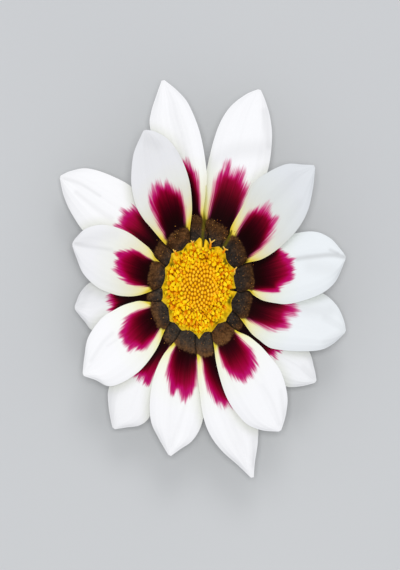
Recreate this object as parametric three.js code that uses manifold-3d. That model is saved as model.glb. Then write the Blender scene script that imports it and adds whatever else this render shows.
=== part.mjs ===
// A gazania flower head, picked with a short stub of its stalk and resting face up.
// Millimetres, +Z up. The origin is the middle of the stalk's cut end, which the head stands on.
// +Y runs along the long way of the oval head and +X across it.
// From the bottom up: the stalk widens into the receptacle, the green cup of fused bracts wraps it,
// fifteen white rays lie on its shoulder, and the domed disc of small yellow florets holds them down.
import * as THREE from "three";
import { mergeVertices } from "three/addons/utils/BufferGeometryUtils.js";
import Module from "manifold-3d";

const wasm = await Module();
wasm.setup();

// ---------------------------------------------------------------- driving dimensions

const OVAL = 0.75; // width of the head over its length
const GAP = 0.3; // air left between pieces that bear on each other
const LATHE_SIDES = 36;

const CUT_RADIUS = 3; // the stalk's cut end
const NECK_RADIUS = 2.7; // the stalk just above it
const NECK_TOP = 3.4; // where it starts to widen, inside the cup
const CUP_FOOT_Z = 2.6; // lowest edge of the cup round the stalk
const CUP_MOUTH_RADIUS = NECK_RADIUS + GAP + 0.1;
const OVAL_FROM = 2.8; // below this height the section is round
const OVAL_FULL = 6.4; // above this height it has the head's full oval

const SHOULDER_Z = 9.95; // top of the receptacle, which the rays lie on
const SHOULDER_RADIUS = 8.4;

const RAY_THICKNESS = 0.7;
const RAY_Z = SHOULDER_Z + GAP + RAY_THICKNESS / 2; // middle of the lowest rays at the shoulder
const RAY_ROOT_RADIUS = 7; // where a ray's narrow claw ends, under the disc
const RAY_CLAW_WIDTH = 2;
const RAY_SEAM_RADIUS = 10.6; // just outside the disc, where the bases of neighbours overlap
const RAY_SEAM_OVERLAP = 2; // by this many degrees on each side of the middle between two claws
const RAY_TIP_WIDTH = 0.6;
const RAY_RISE = 1.2; // a ray climbs this much just outside the disc
const RAY_RISE_FROM = 10;
const RAY_RISE_TO = 22; // from here outwards it bends down
const RAY_DROOP = 2.2; // by this much at the next radius
const RAY_DROOP_AT = 42;
const RAY_LIFT_FROM = 12; // a ray's own lift starts here
const RAY_LIFT_AT = 40; // and is complete here
const RAY_FOLD = 0.25; // height of the two soft ridges along a ray
const RAY_CROWN = 0.35; // how far a ray's two edges turn down
const STACK_NEAR = 1; // how far an upper ray lies above its neighbour at the disc
const STACK_FAR = 1.7; // and where the rays are wide
const STACK_NEAR_RADIUS = 12;
const STACK_FAR_RADIUS = 22;
const BRACT_THICKNESS = 0.6;
const BRACT_TIP_WIDTH = 0.3;

const DISC_CORE_RADIUS = 6.4; // the core inside the ring of claws
const DISC_RIM_RADIUS = 9.6; // the rim that overhangs the claws
const DISC_UNDER_Z = RAY_Z + STACK_NEAR + RAY_THICKNESS / 2 + GAP;
const DISC_EDGE_Z = DISC_UNDER_Z + 1.1; // dome height at the rim
const DISC_CROWN = 1.5; // and its rise to the middle
const BUD_ZONE_RADIUS = 5.2; // closed buds inside this radius, open florets from it outwards
const BUD_SPACING = 0.74;
const BUD_RADIUS = 0.6;
const OPEN_OUTERMOST = 9.5;
const OPEN_SPACING = 1.06;
const TUBE_RADIUS = 0.46; // an open floret's tube
const LOBE_REACH = 1.12; // from its middle to the points of its lobes
const STYLE_HEIGHT = 0.5; // of the style above the lobes
const GOLDEN_ANGLE = Math.PI * (3 - Math.sqrt(5));

// ---------------------------------------------------------------- small helpers

const smooth = (from, to, x) => THREE.MathUtils.smoothstep(x, from, to);

// Distance from the axis, measured as if the oval head were round.
const ovalRadius = (x, y) => Math.hypot(x / OVAL, y);

// A point at that distance and at an angle in degrees, counted from +X towards +Y.
function onOval(radius, degrees) {
  const a = THREE.MathUtils.degToRad(degrees);
  return new THREE.Vector2(OVAL * radius * Math.cos(a), radius * Math.sin(a));
}

// A closed geometry as a manifold solid: only positions count, and triangles with no area are dropped.
function toSolid(geometry) {
  const bare = new THREE.BufferGeometry();
  bare.setAttribute("position", geometry.getAttribute("position").clone());
  bare.setIndex(geometry.index ? geometry.index.clone() : null);
  const merged = mergeVertices(bare, 1e-4);
  const index = merged.index.array;
  const kept = [];
  for (let i = 0; i < index.length; i += 3) {
    const [a, b, c] = [index[i], index[i + 1], index[i + 2]];
    if (a !== b && b !== c && c !== a) {
      kept.push(a, b, c);
    }
  }
  const vertProperties = new Float32Array(merged.attributes.position.array);
  const triVerts = new Uint32Array(kept);
  return new wasm.Manifold(new wasm.Mesh({ numProp: 3, vertProperties, triVerts }));
}

function toGeometry(solid) {
  const mesh = solid.getMesh();
  const geometry = new THREE.BufferGeometry();
  geometry.setAttribute("position", new THREE.BufferAttribute(mesh.vertProperties, 3));
  geometry.setIndex(new THREE.BufferAttribute(mesh.triVerts, 1));
  return geometry;
}

// Many solids as one, joined in pairs so that no single join grows too large.
function unite(solids) {
  if (solids.length === 1) {
    return solids[0];
  }
  const half = Math.ceil(solids.length / 2);
  return unite(solids.slice(0, half)).add(unite(solids.slice(half)));
}

// A closed body from rings of points that all have the same count, capped at both ends.
// Rings run counter-clockwise seen from above and are listed from the bottom up.
function stackRings(rings) {
  const count = rings[0].length;
  const positions = rings.flat().flatMap((p) => [p.x, p.y, p.z]);
  const index = [];
  for (let r = 0; r + 1 < rings.length; r++) {
    for (let i = 0; i < count; i++) {
      const [a, b] = [r * count + i, r * count + ((i + 1) % count)];
      index.push(a, b, b + count, a, b + count, a + count);
    }
  }
  const last = (rings.length - 1) * count;
  for (let i = 1; i + 1 < count; i++) {
    index.push(0, i + 1, i);
    index.push(last, last + i, last + i + 1);
  }
  const geometry = new THREE.BufferGeometry();
  geometry.setAttribute("position", new THREE.Float32BufferAttribute(positions, 3));
  geometry.setIndex(index);
  return geometry;
}

// A sheet of even thickness about a grid of middle points, with both faces split into the same triangles.
// Rows run away from the viewer and columns to the right, seen from above.
function thickSheet(grid, thickness) {
  const [rows, columns] = [grid.length, grid[0].length];
  const positions = [];
  for (const side of [thickness / 2, -thickness / 2]) {
    for (const p of grid.flat()) {
      positions.push(p.x, p.y, p.z + side);
    }
  }
  const under = rows * columns;
  const index = [];
  for (let i = 0; i + 1 < rows; i++) {
    for (let j = 0; j + 1 < columns; j++) {
      const a = i * columns + j;
      const [b, c, d] = [a + 1, a + columns + 1, a + columns];
      index.push(a, b, c, a, c, d);
      index.push(under + a, under + c, under + b, under + a, under + d, under + c);
    }
  }
  const upTo = (count) => Array.from({ length: count }, (_, i) => i);
  const rim = [
    ...upTo(columns - 1),
    ...upTo(rows - 1).map((i) => i * columns + columns - 1),
    ...upTo(columns - 1).map((j) => under - 1 - j),
    ...upTo(rows - 1).map((i) => (rows - 1 - i) * columns),
  ];
  rim.forEach((a, k) => {
    const b = rim[(k + 1) % rim.length];
    index.push(a, under + a, under + b, a, under + b, b);
  });
  const geometry = new THREE.BufferGeometry();
  geometry.setAttribute("position", new THREE.Float32BufferAttribute(positions, 3));
  geometry.setIndex(index);
  return geometry;
}

// A turned body whose section is round at the stalk and takes the head's oval higher up.
// The profile lists [radius, height] from the bottom up, and ends on the axis or where it began.
function turnedOval(profile) {
  const points = profile.map(([radius, height]) => new THREE.Vector2(radius, height));
  const geometry = new THREE.LatheGeometry(points, LATHE_SIDES);
  geometry.rotateX(Math.PI / 2);
  const position = geometry.getAttribute("position");
  for (let i = 0; i < position.count; i++) {
    const squeeze = 1 - (1 - OVAL) * smooth(OVAL_FROM, OVAL_FULL, position.getZ(i));
    position.setX(i, position.getX(i) * squeeze);
  }
  return geometry;
}

// ---------------------------------------------------------------- stalk, receptacle and cup

// The cut stalk and the receptacle that it widens into are one growth.
function stalkAndReceptacle() {
  return turnedOval([
    [0, 0],
    [CUT_RADIUS, 0],
    [NECK_RADIUS, 1.3],
    [NECK_RADIUS, NECK_TOP],
    [3.2, 4.5],
    [5.1, 5.6],
    [6.7, 7.2],
    [7.8, 8.8],
    [SHOULDER_RADIUS, SHOULDER_Z],
    [0, SHOULDER_Z],
  ]);
}

// The bracts are fused into one cup, with their free points in three rows.
// The profile goes up the outside of the cup and down the inside.
const CUP_PROFILE = [
  [CUP_MOUTH_RADIUS, CUP_FOOT_Z],
  [4.7, 3],
  [6.5, 4.3],
  [8, 6.1],
  [9.1, 8.1],
  [9.8, 10],
  [8.9, 10],
  [8.3, 8.7],
  [7.1, 6.9],
  [5.5, 5.2],
  [3.7, 4.1],
  [CUP_MOUTH_RADIUS, 3.6],
  [CUP_MOUTH_RADIUS, CUP_FOOT_Z],
];

// One row per rank of free bract points: how many, where the root sits, where the tip ends, and the width.
const BRACT_ROWS = [
  { count: 16, turn: 0, root: [9, 9.1], middle: [10.9, 9.65], tip: [13.4, 9.75], width: 3 },
  { count: 14, turn: 10, root: [8.1, 7.1], middle: [9.9, 8], tip: [12.2, 8.5], width: 2.2 },
  { count: 11, turn: 3, root: [6.6, 4.9], middle: [8.2, 5.3], tip: [9.9, 6.3], width: 1.8 },
];

function bract(row, degrees) {
  const a = THREE.MathUtils.degToRad(degrees);
  const side = new THREE.Vector2(-OVAL * Math.sin(a), Math.cos(a)).normalize();
  const widths = [row.width, row.width * 0.7, BRACT_TIP_WIDTH];
  const grid = [row.root, row.middle, row.tip].map(([radius, height], i) => {
    const centre = onOval(radius, degrees);
    return [widths[i] / 2, 0, -widths[i] / 2].map((offset) => {
      const p = centre.clone().addScaledVector(side, offset);
      return new THREE.Vector3(p.x, p.y, height);
    });
  });
  return thickSheet(grid, BRACT_THICKNESS);
}

function involucre() {
  const solids = [toSolid(turnedOval(CUP_PROFILE))];
  for (const row of BRACT_ROWS) {
    for (let i = 0; i < row.count; i++) {
      solids.push(toSolid(bract(row, row.turn + (360 * i) / row.count)));
    }
  }
  return toGeometry(unite(solids));
}

// ---------------------------------------------------------------- ray florets

// Each ray's outline seen from above, as points along its two edges from the disc to the tip.
// ccw is the edge on the counter-clockwise side and cw the other one. root is the direction of its claw
// in degrees on the oval. over is 1 for an edge that lies over its neighbour and 0 for one under it, ccw
// first. lift is how far the ray stands above the common spread at RAY_LIFT_AT, or below it if negative.
const RAYS = [
  {
    root: 93,
    tip: [-7.4, 41.2],
    ccw: [[-3.3, 13.6], [-5.4, 19], [-8.4, 25.5], [-10, 31.8], [-9.8, 34.8], [-8.6, 38.2]],
    cw: [[0.6, 13.6], [1.3, 20], [1.3, 24], [0, 30.6], [-2.2, 36.2], [-4.4, 39]],
    over: [0, 1],
    lift: 0,
  },
  {
    root: 69,
    tip: [11.9, 39.4],
    ccw: [[0.3, 13.6], [0.9, 18.5], [1.6, 24], [3.4, 31.2], [5.8, 35.6], [9, 38.3]],
    cw: [[6.6, 11.6], [10.2, 16.8], [13.4, 22.6], [14.4, 29], [14.1, 33.6], [13.1, 37.2]],
    over: [0, 0],
    lift: -0.5,
  },
  {
    root: 37,
    tip: [22.8, 23.8],
    ccw: [[6, 11.4], [8, 16.2], [10.2, 20.4], [13.4, 22.6], [17.2, 24.3], [20.4, 24.2]],
    cw: [[9.2, 4.6], [12.4, 5.4], [15.8, 7.6], [19.2, 11], [21.4, 14.8], [22.5, 19.4]],
    over: [1, 1],
    lift: 4,
  },
  {
    root: 9,
    tip: [29.1, 5.6],
    ccw: [[9.6, 5], [13, 7.6], [17.6, 10.1], [22.6, 11], [26, 9.6], [28.2, 7.2]],
    cw: [[10, -0.9], [13, -2.8], [17, -3.6], [21, -2.7], [24.6, -1.3], [27.2, 1.1]],
    over: [0, 1],
    lift: 1.5,
  },
  {
    root: -17,
    tip: [29.1, -9.2],
    ccw: [[10, -0.5], [14.5, -0.2], [20, -0.3], [24.6, -1.5], [27.4, -3.9], [28.7, -6.8]],
    cw: [[8.5, -7], [11.2, -10], [15.2, -12.6], [19.5, -13], [24, -12.8], [26.6, -11.6]],
    over: [0, 1],
    lift: -0.5,
  },
  {
    root: -37,
    tip: [23.2, -19.2],
    ccw: [[9, -6.4], [12.6, -9.2], [17.6, -10.6], [21.6, -12.8], [22.9, -16.4]],
    cw: [[6.6, -9.6], [9.6, -13.6], [13.2, -18.4], [17.2, -20.1], [20.2, -20.1]],
    over: [0, 0],
    lift: -2.5,
  },
  {
    root: -58,
    tip: [16, -28.9],
    ccw: [[7.2, -9], [10.2, -10.3], [13.2, -12.8], [16, -16.8], [17.4, -21.6], [17.2, -25.4]],
    cw: [[2.8, -12], [3.3, -15.6], [4.8, -19.8], [7, -24.4], [9.4, -27.5], [12.4, -28.8]],
    over: [1, 1],
    lift: 1.5,
  },
  {
    root: -82,
    tip: [10.5, -38.4],
    ccw: [[3.4, -12.4], [5.8, -17.4], [9.2, -22.6], [11.4, -27], [11.5, -31], [11, -35.4]],
    cw: [[-0.3, -13.4], [-0.1, -19], [0.6, -25.6], [2, -29.7], [4.4, -33], [7.6, -35.9]],
    over: [0, 1],
    lift: -1,
  },
  {
    root: -106,
    tip: [-6.1, -33.9],
    ccw: [[0.2, -13.4], [0.8, -18.4], [1.2, -23], [0.2, -28], [-1.6, -31], [-4, -32.7]],
    cw: [[-5, -11], [-7.4, -13.9], [-9.4, -18], [-10.1, -22.6], [-9.8, -27], [-8.3, -30.4]],
    over: [0, 1],
    lift: -1,
  },
  {
    root: -129,
    tip: [-17.3, -28.6],
    ccw: [[-4.5, -12], [-7.2, -16.5], [-8.6, -21.5], [-10, -26], [-12, -27.9], [-15, -28.4]],
    cw: [[-7.8, -8.7], [-11.8, -12.4], [-16.4, -16.4], [-18.5, -20.6], [-18.4, -23.6], [-17.9, -26.4]],
    over: [0, 0],
    lift: -3,
  },
  {
    root: -151,
    tip: [-23.3, -17.7],
    ccw: [[-7.2, -8.9], [-8.8, -12.8], [-11.8, -16.7], [-15.2, -19.1], [-18.2, -20], [-20.8, -18.8]],
    cw: [[-10, -3.5], [-12.6, -3], [-16.4, -4.2], [-19.6, -6.4], [-22.3, -10.2], [-23.1, -14.2]],
    over: [1, 1],
    lift: 1.5,
  },
  {
    root: -171,
    tip: [-25.1, -4.4],
    ccw: [[-9.9, -4], [-13.6, -6], [-17.6, -8.4], [-21.3, -9], [-23.3, -6.9]],
    cw: [[-9.9, -0.3], [-13.8, 1], [-18.2, 2], [-21.7, 0.9], [-23.9, -1.2]],
    over: [0, 0],
    lift: -2.5,
  },
  {
    root: 170,
    tip: [-25.4, 8.2],
    ccw: [[-9.9, -1], [-12.8, -2], [-16.6, -2], [-20.4, -0.3], [-23.2, 2.4], [-24.6, 5.6]],
    cw: [[-8.8, 5.2], [-11.2, 7.9], [-14.8, 10.6], [-19, 12.2], [-22.6, 11.5], [-24.8, 9.7]],
    over: [1, 1],
    lift: 5,
  },
  {
    root: 147,
    tip: [-28.1, 21.9],
    ccw: [[-9, 4.5], [-13, 7.4], [-18.4, 8.4], [-22.6, 10.3], [-25.4, 14.2], [-27.2, 18]],
    cw: [[-6.6, 9.4], [-9.4, 14], [-13.2, 19.4], [-18, 22.2], [-22.6, 23.6], [-26, 23.1]],
    over: [0, 0],
    lift: -1.5,
  },
  {
    root: 121,
    tip: [-10.9, 30.9],
    ccw: [[-7.2, 8.7], [-9.8, 12], [-12.2, 16.4], [-13.6, 21.4], [-13.2, 26.2], [-11.9, 29.9]],
    cw: [[-2, 11.6], [-1.6, 15.6], [-2, 20.8], [-3.8, 25.6], [-6.2, 29], [-8.8, 30.6]],
    over: [1, 1],
    lift: 10,
  },
];

const RAY_ROWS = [0, 0.07, 0.14, 0.22, 0.31, 0.41, 0.51, 0.61, 0.71, 0.81, 0.91, 1];
const RAY_COLUMNS = [0, 0.25, 0.5, 0.75, 1];

// Height of the middle of a ray that lies under both neighbours, by its distance from the axis.
function spreadHeight(radius) {
  const rise = smooth(RAY_RISE_FROM, RAY_RISE_TO, radius);
  const droop = Math.max(0, (radius - RAY_RISE_TO) / (RAY_DROOP_AT - RAY_RISE_TO));
  return RAY_Z + RAY_RISE * rise - RAY_DROOP * droop ** 2;
}

// What one ray adds to that: its place in the stack from edge to edge, its own lift, its two soft
// ridges, and its edges turned down.
function ownHeight(ray, radius, across, along) {
  const [overCcw, overCw] = ray.over;
  const turn = THREE.MathUtils.lerp(smooth(0.3, 0.9, across), 0.5, smooth(0.75, 1, along));
  const step = STACK_NEAR + (STACK_FAR - STACK_NEAR) * smooth(STACK_NEAR_RADIUS, STACK_FAR_RADIUS, radius);
  const reach = Math.max(0, (radius - RAY_LIFT_FROM) / (RAY_LIFT_AT - RAY_LIFT_FROM));
  const ridges = 0.5 - 0.5 * Math.cos(4 * Math.PI * across);
  const blade = smooth(0.25, 0.5, along) * (1 - smooth(0.85, 1, along));
  const form = blade * (RAY_FOLD * ridges - RAY_CROWN * (2 * across - 1) ** 2);
  return step * (overCcw * (1 - turn) + overCw * turn) + ray.lift * reach ** 2 + form;
}

// Where a ray's base meets its neighbour's, a little past the middle between their claws.
function seam(ray, neighbour, side) {
  const apart = THREE.MathUtils.euclideanModulo(side * (neighbour.root - ray.root), 360);
  return onOval(RAY_SEAM_RADIUS, ray.root + side * (apart / 2 + RAY_SEAM_OVERLAP));
}

function rayFloret(ray, index) {
  const claw = onOval(RAY_ROOT_RADIUS, ray.root);
  const outward = onOval(1, ray.root);
  const left = new THREE.Vector2(-outward.y, outward.x).normalize();
  const tip = new THREE.Vector2(...ray.tip);
  const across = new THREE.Vector2(...ray.ccw.at(-1)).sub(new THREE.Vector2(...ray.cw.at(-1))).normalize();
  const edge = (points, side) =>
    new THREE.SplineCurve([
      claw.clone().addScaledVector(left, (side * RAY_CLAW_WIDTH) / 2),
      seam(ray, RAYS.at((index - side) % RAYS.length), side),
      ...points.map((p) => new THREE.Vector2(...p)),
      tip.clone().addScaledVector(across, (side * RAY_TIP_WIDTH) / 2),
    ]);
  const [ccw, cw] = [edge(ray.ccw, 1), edge(ray.cw, -1)];
  const grid = RAY_ROWS.map((along) => {
    const [from, to] = [ccw.getPointAt(along), cw.getPointAt(along)];
    return RAY_COLUMNS.map((share) => {
      const p = from.clone().lerp(to, share);
      const radius = ovalRadius(p.x, p.y);
      return new THREE.Vector3(p.x, p.y, spreadHeight(radius) + ownHeight(ray, radius, share, along));
    });
  });
  return thickSheet(grid, RAY_THICKNESS);
}

// ---------------------------------------------------------------- disc florets

// Height of the dome that the disc florets stand on.
const domeHeight = (radius) => DISC_EDGE_Z + DISC_CROWN * (1 - (radius / DISC_RIM_RADIUS) ** 2);

function discCore() {
  return turnedOval([
    [0, SHOULDER_Z + GAP],
    [DISC_CORE_RADIUS, SHOULDER_Z + GAP],
    [DISC_CORE_RADIUS, DISC_UNDER_Z],
    [DISC_RIM_RADIUS - 0.4, DISC_UNDER_Z],
    [DISC_RIM_RADIUS, DISC_UNDER_Z + 0.5],
    [DISC_RIM_RADIUS - 0.3, domeHeight(DISC_RIM_RADIUS)],
    [6, domeHeight(6)],
    [3, domeHeight(3)],
    [0, domeHeight(0)],
  ]);
}

// Places on the dome in a golden-angle spiral, as [distance from the axis, angle in degrees].
function spiralPlaces(spacing, from, to) {
  const places = [];
  for (let n = 1; spacing * Math.sqrt(n) < to; n++) {
    const radius = spacing * Math.sqrt(n);
    if (radius >= from) {
      places.push([radius, THREE.MathUtils.radToDeg(n * GOLDEN_ANGLE)]);
    }
  }
  return places;
}

// A floret built along +Z about the origin is leaned outwards, set on the dome and squeezed with the oval.
function setOnDome(geometry, radius, degrees, lean) {
  const turned = geometry.clone();
  turned.rotateY(THREE.MathUtils.degToRad(lean));
  turned.translate(radius, 0, domeHeight(radius));
  turned.rotateZ(THREE.MathUtils.degToRad(degrees));
  turned.scale(OVAL, 1, 1);
  return turned;
}

// A ring of ten points about the Z axis, where radiusOf(i) is the radius of point i.
// A pentagon is a ring of ten whose points fall together in pairs.
function ringOfTen(height, radiusOf, pentagon) {
  return Array.from({ length: 10 }, (_, i) => {
    const a = (Math.PI / 5) * (pentagon ? i - (i % 2) : i);
    return new THREE.Vector3(radiusOf(i) * Math.cos(a), radiusOf(i) * Math.sin(a), height);
  });
}

const pentagonAt = (height, radius) => ringOfTen(height, () => radius, true);

// A closed bud: a small five-sided dome sunk into the core.
function bud(height) {
  return stackRings([
    pentagonAt(-0.4, BUD_RADIUS * 0.9),
    pentagonAt(0.5 * height, BUD_RADIUS),
    pentagonAt(0.86 * height, BUD_RADIUS * 0.62),
    pentagonAt(height, 0),
  ]);
}

// An open floret: a tube that flares into five pointed lobes, with the style standing in its throat.
function openFloret(height, outerReach) {
  const lobe = (i) => (i % 2 ? LOBE_REACH * 0.58 : i === 0 ? outerReach : LOBE_REACH);
  return stackRings([
    pentagonAt(-0.5, TUBE_RADIUS),
    pentagonAt(0.7 * height, TUBE_RADIUS * 1.3),
    ringOfTen(height, lobe, false),
    pentagonAt(height + 0.1, TUBE_RADIUS * 0.8),
    pentagonAt(height + STYLE_HEIGHT, 0),
  ]);
}

function discFlorets() {
  const solids = [toSolid(discCore())];
  for (const [radius, degrees] of spiralPlaces(BUD_SPACING, 0, BUD_ZONE_RADIUS)) {
    const height = 0.8 + 0.4 * (radius / BUD_ZONE_RADIUS);
    solids.push(toSolid(setOnDome(bud(height), radius, degrees, 3 * radius)));
  }
  for (const [radius, degrees] of spiralPlaces(OPEN_SPACING, BUD_ZONE_RADIUS, OPEN_OUTERMOST)) {
    const outer = smooth(7, 9, radius);
    const floret = openFloret(1.6 - 0.6 * outer, LOBE_REACH + 0.4 * outer);
    solids.push(toSolid(setOnDome(floret, radius, degrees, 6 + 22 * outer)));
  }
  return toGeometry(unite(solids));
}

// ---------------------------------------------------------------- the flower head

const GREEN = { color: 0x6f8a45, roughness: 0.6 };
const STALK_GREEN = { color: 0x86a057, roughness: 0.6 };
const WHITE = { color: 0xf4f3f5, roughness: 0.55 };
const YELLOW = { color: 0xf0b50a, roughness: 0.5 };

const head = new THREE.Group();

function addPiece(name, geometry, finish) {
  const mesh = new THREE.Mesh(geometry, new THREE.MeshStandardMaterial(finish));
  mesh.name = name;
  head.add(mesh);
}

addPiece("stalk_and_receptacle", stalkAndReceptacle(), STALK_GREEN);
addPiece("involucre", involucre(), GREEN);
RAYS.forEach((ray, index) => {
  const number = String(index + 1).padStart(2, "0");
  addPiece(`ray_floret_${number}`, rayFloret(ray, index), WHITE);
});
addPiece("disc_florets", discFlorets(), YELLOW);

export default head;
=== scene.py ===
# %% [markdown]
# # Dressing a gazania flower head
#
# What looks like one gazania flower is a whole head of small ones: fifteen long white ray florets
# round the outside and a dome of tiny yellow disc florets in the middle, all held by a cup of green
# bracts on the end of the stalk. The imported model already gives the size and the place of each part.
# This lesson replaces its plain solids with finer surfaces of the same shape, works out on every
# petal how far each point lies from the coloured markings, and lets the materials paint from that.

# %% Load the frame
import math

import bpy
import numpy as np
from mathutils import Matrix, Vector


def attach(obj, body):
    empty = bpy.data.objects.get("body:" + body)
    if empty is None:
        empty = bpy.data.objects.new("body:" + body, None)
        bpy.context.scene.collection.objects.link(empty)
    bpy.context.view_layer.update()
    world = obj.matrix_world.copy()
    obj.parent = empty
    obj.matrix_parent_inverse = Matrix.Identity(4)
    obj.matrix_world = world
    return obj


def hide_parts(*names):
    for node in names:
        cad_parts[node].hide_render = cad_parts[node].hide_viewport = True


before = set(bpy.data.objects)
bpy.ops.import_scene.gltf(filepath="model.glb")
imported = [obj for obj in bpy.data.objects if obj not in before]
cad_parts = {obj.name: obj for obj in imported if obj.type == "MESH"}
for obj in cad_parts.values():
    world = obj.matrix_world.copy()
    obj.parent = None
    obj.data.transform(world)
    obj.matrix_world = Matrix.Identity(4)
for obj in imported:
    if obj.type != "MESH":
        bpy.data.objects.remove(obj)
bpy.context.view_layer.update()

# %% [markdown]
# ## Sizes shared by every piece
#
# Shapes are worked out in millimetres and turned into metres only when a mesh is made. The head is
# an oval, three quarters as wide as it is long, so a distance from its middle is measured as if the
# oval were a circle: the same number then means the same place on every petal.

# %% Sizes and small helpers
MM = 0.001
OVAL = 0.75
CURVE_STEPS = 40
chance = np.random.default_rng(15)


def smooth(start, end, x):
    """0 before start, 1 after end, and an even S-curve between them."""
    t = np.clip((np.asarray(x, float) - start) / (end - start), 0, 1)
    return t * t * (3 - 2 * t)


def mix(a, b, share):
    """a where share is 0, b where it is 1, and in proportion between."""
    return a + (b - a) * share


def oval_radius(x, y):
    """Distance from the middle of the head once the oval is stretched back into a circle."""
    return np.hypot(x / OVAL, y)


def on_oval(radius, degrees):
    """The point at that stretched distance, at an angle counted from +X towards +Y."""
    a = np.radians(degrees)
    return np.stack([OVAL * radius * np.cos(a), radius * np.sin(a)], -1)


def curve_through(points, shares):
    """Points at given shares of the length of a smooth curve through a few given points.

    Between two points runs a cubic whose slope at each end is half the step from the point before
    to the point after. The curve is walked finely, its length added up, and the shares looked up.
    """
    p = np.array(points, float)
    before, start, end, after = np.vstack([p[:1], p[:-2]]), p[:-1], p[1:], np.vstack([p[2:], p[-1:]])
    out, back = (end - before) / 2, (after - start) / 2
    t = np.linspace(0, 1, CURVE_STEPS, endpoint=False)[None, :, None]
    a, b, out, back = start[:, None], end[:, None], out[:, None], back[:, None]
    walk = (2 * a - 2 * b + out + back) * t**3 + (3 * b - 3 * a - 2 * out - back) * t**2 + out * t + a
    walk = np.vstack([walk.reshape(-1, p.shape[1]), p[-1:]])
    length = np.concatenate([[0], np.cumsum(np.linalg.norm(np.diff(walk, axis=0), axis=1))])
    return np.stack([np.interp(shares * length[-1], length, column) for column in walk.T], -1)


print("the oval point at 10 mm and 45 degrees:", on_oval(10, 45).round(2))

# %% [markdown]
# ## From grids of points to meshes
#
# Every surface here is a grid: rows run one way over it and columns the other. Three helpers join
# neighbouring grid points into faces, one for a sheet with two sides, one for a ring-shaped skin and
# one for a stack of rings closed at both ends. The corners of each face are listed so that it points
# outwards.

# %% Grid faces
def sheet_faces(rows, columns):
    """Faces of a thin closed sheet whose upper grid of points is listed first, then its lower one.

    Rows run away from the viewer and columns to the right, seen from above. A band of faces round
    the rim joins the two grids.
    """
    grid = np.arange(rows * columns).reshape(rows, columns)
    under = rows * columns
    a, b, c, d = (g.ravel() for g in (grid[:-1, :-1], grid[:-1, 1:], grid[1:, 1:], grid[1:, :-1]))
    rim = np.concatenate([grid[0, :-1], grid[:-1, -1], grid[-1, :0:-1], grid[:0:-1, 0]])
    following = np.roll(rim, -1)
    top = np.stack([a, b, c, d], -1)
    bottom = np.stack([a, d, c, b], -1) + under
    band = np.stack([rim, rim + under, following + under, following], -1)
    return np.vstack([top, bottom, band]).tolist()


def ring_faces(rings, count, closed=False):
    """Faces between rings of count points each; closed also joins the last ring to the first."""
    r = np.arange(rings if closed else rings - 1)[:, None]
    i = np.arange(count)[None, :]
    a, b = r * count + i, r * count + (i + 1) % count
    c, d = (r + 1) % rings * count + (i + 1) % count, (r + 1) % rings * count + i
    return np.stack([a, b, c, d], -1).reshape(-1, 4).tolist()


def capped_rings(rings):
    """Points and faces of a body made of rings, from bottom to top, with a fan of faces on each end."""
    rings = np.asarray(rings, float)
    levels, count = rings.shape[:2]
    points = np.vstack([rings.reshape(-1, 3), rings[0].mean(0), rings[-1].mean(0)])
    i = np.arange(count)
    j = (i + 1) % count
    last = (levels - 1) * count
    pole = levels * count
    bottom = np.stack([np.full(count, pole), j, i], -1)
    top = np.stack([np.full(count, pole + 1), last + i, last + j], -1)
    return points, ring_faces(levels, count) + bottom.tolist() + top.tolist()


print("a sheet of 3 by 3 points has", len(sheet_faces(3, 3)), "faces")

# %% [markdown]
# ## The mesh maker
#
# Every piece goes through one function, so that all of them are built, shaded, fixed to the packed
# model and given their finish in the same way. Blender takes a mesh as whole lists of points and
# faces, and attributes as whole arrays, which is far quicker than point by point. A mark is such an
# attribute: one number per point, which a material can read.

# %% The mesh maker
def new_object(name, data):
    """An object that shows a mesh, a lamp or a camera, linked into the scene."""
    made = bpy.data.objects.new(name, data)
    bpy.context.scene.collection.objects.link(made)
    return made


def add_piece(name, points, faces, finish, slot, replaces=(), uv=None, **marks):
    """A finished piece: points in mm, with marks as one value per point that the finish can read.

    Edges that bend by more than 50 degrees are shaded as sharp ones.
    """
    mesh = bpy.data.meshes.new(name)
    mesh.from_pydata((np.asarray(points).reshape(-1, 3) * MM).tolist(), [], faces)
    mesh.shade_smooth()
    mesh.set_sharp_from_angle(angle=math.radians(50))
    for mark, values in marks.items():
        layer = mesh.attributes.new(mark, "FLOAT", "POINT")
        layer.data.foreach_set("value", np.asarray(values, np.float32).ravel())
    if uv is not None:
        corners = np.empty(len(mesh.loops), np.int32)
        mesh.loops.foreach_get("vertex_index", corners)
        flat = np.asarray(uv, np.float32).reshape(-1, 2)[corners]
        mesh.uv_layers.new(name="UVMap").data.foreach_set("uv", flat.ravel())
    mesh.materials.append(finish)
    piece = new_object(name, mesh)
    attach(piece, "root")
    if replaces:
        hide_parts(*replaces)
    print(f"{name}: {len(mesh.vertices)} points, {len(mesh.polygons)} faces")

# %% [markdown]
# ## Colours and sums between nodes
#
# A colour chosen on a screen isn't the linear one that a shader works with, so it is converted once,
# here. Shader nodes can also do arithmetic, but a sum of a few terms takes many nodes. A small class
# stands for the output of a node, so that a plus or a times sign adds the math node for it.

# %% Colours and outputs
def paint(code):
    """A screen colour written as six hexadecimal digits, as the linear colour that shaders use."""
    screen = np.array([int(code[i : i + 2], 16) for i in (0, 2, 4)]) / 255
    linear = np.where(screen <= 0.04045, screen / 12.92, ((screen + 0.055) / 1.055) ** 2.4)
    return (*linear, 1)


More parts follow.
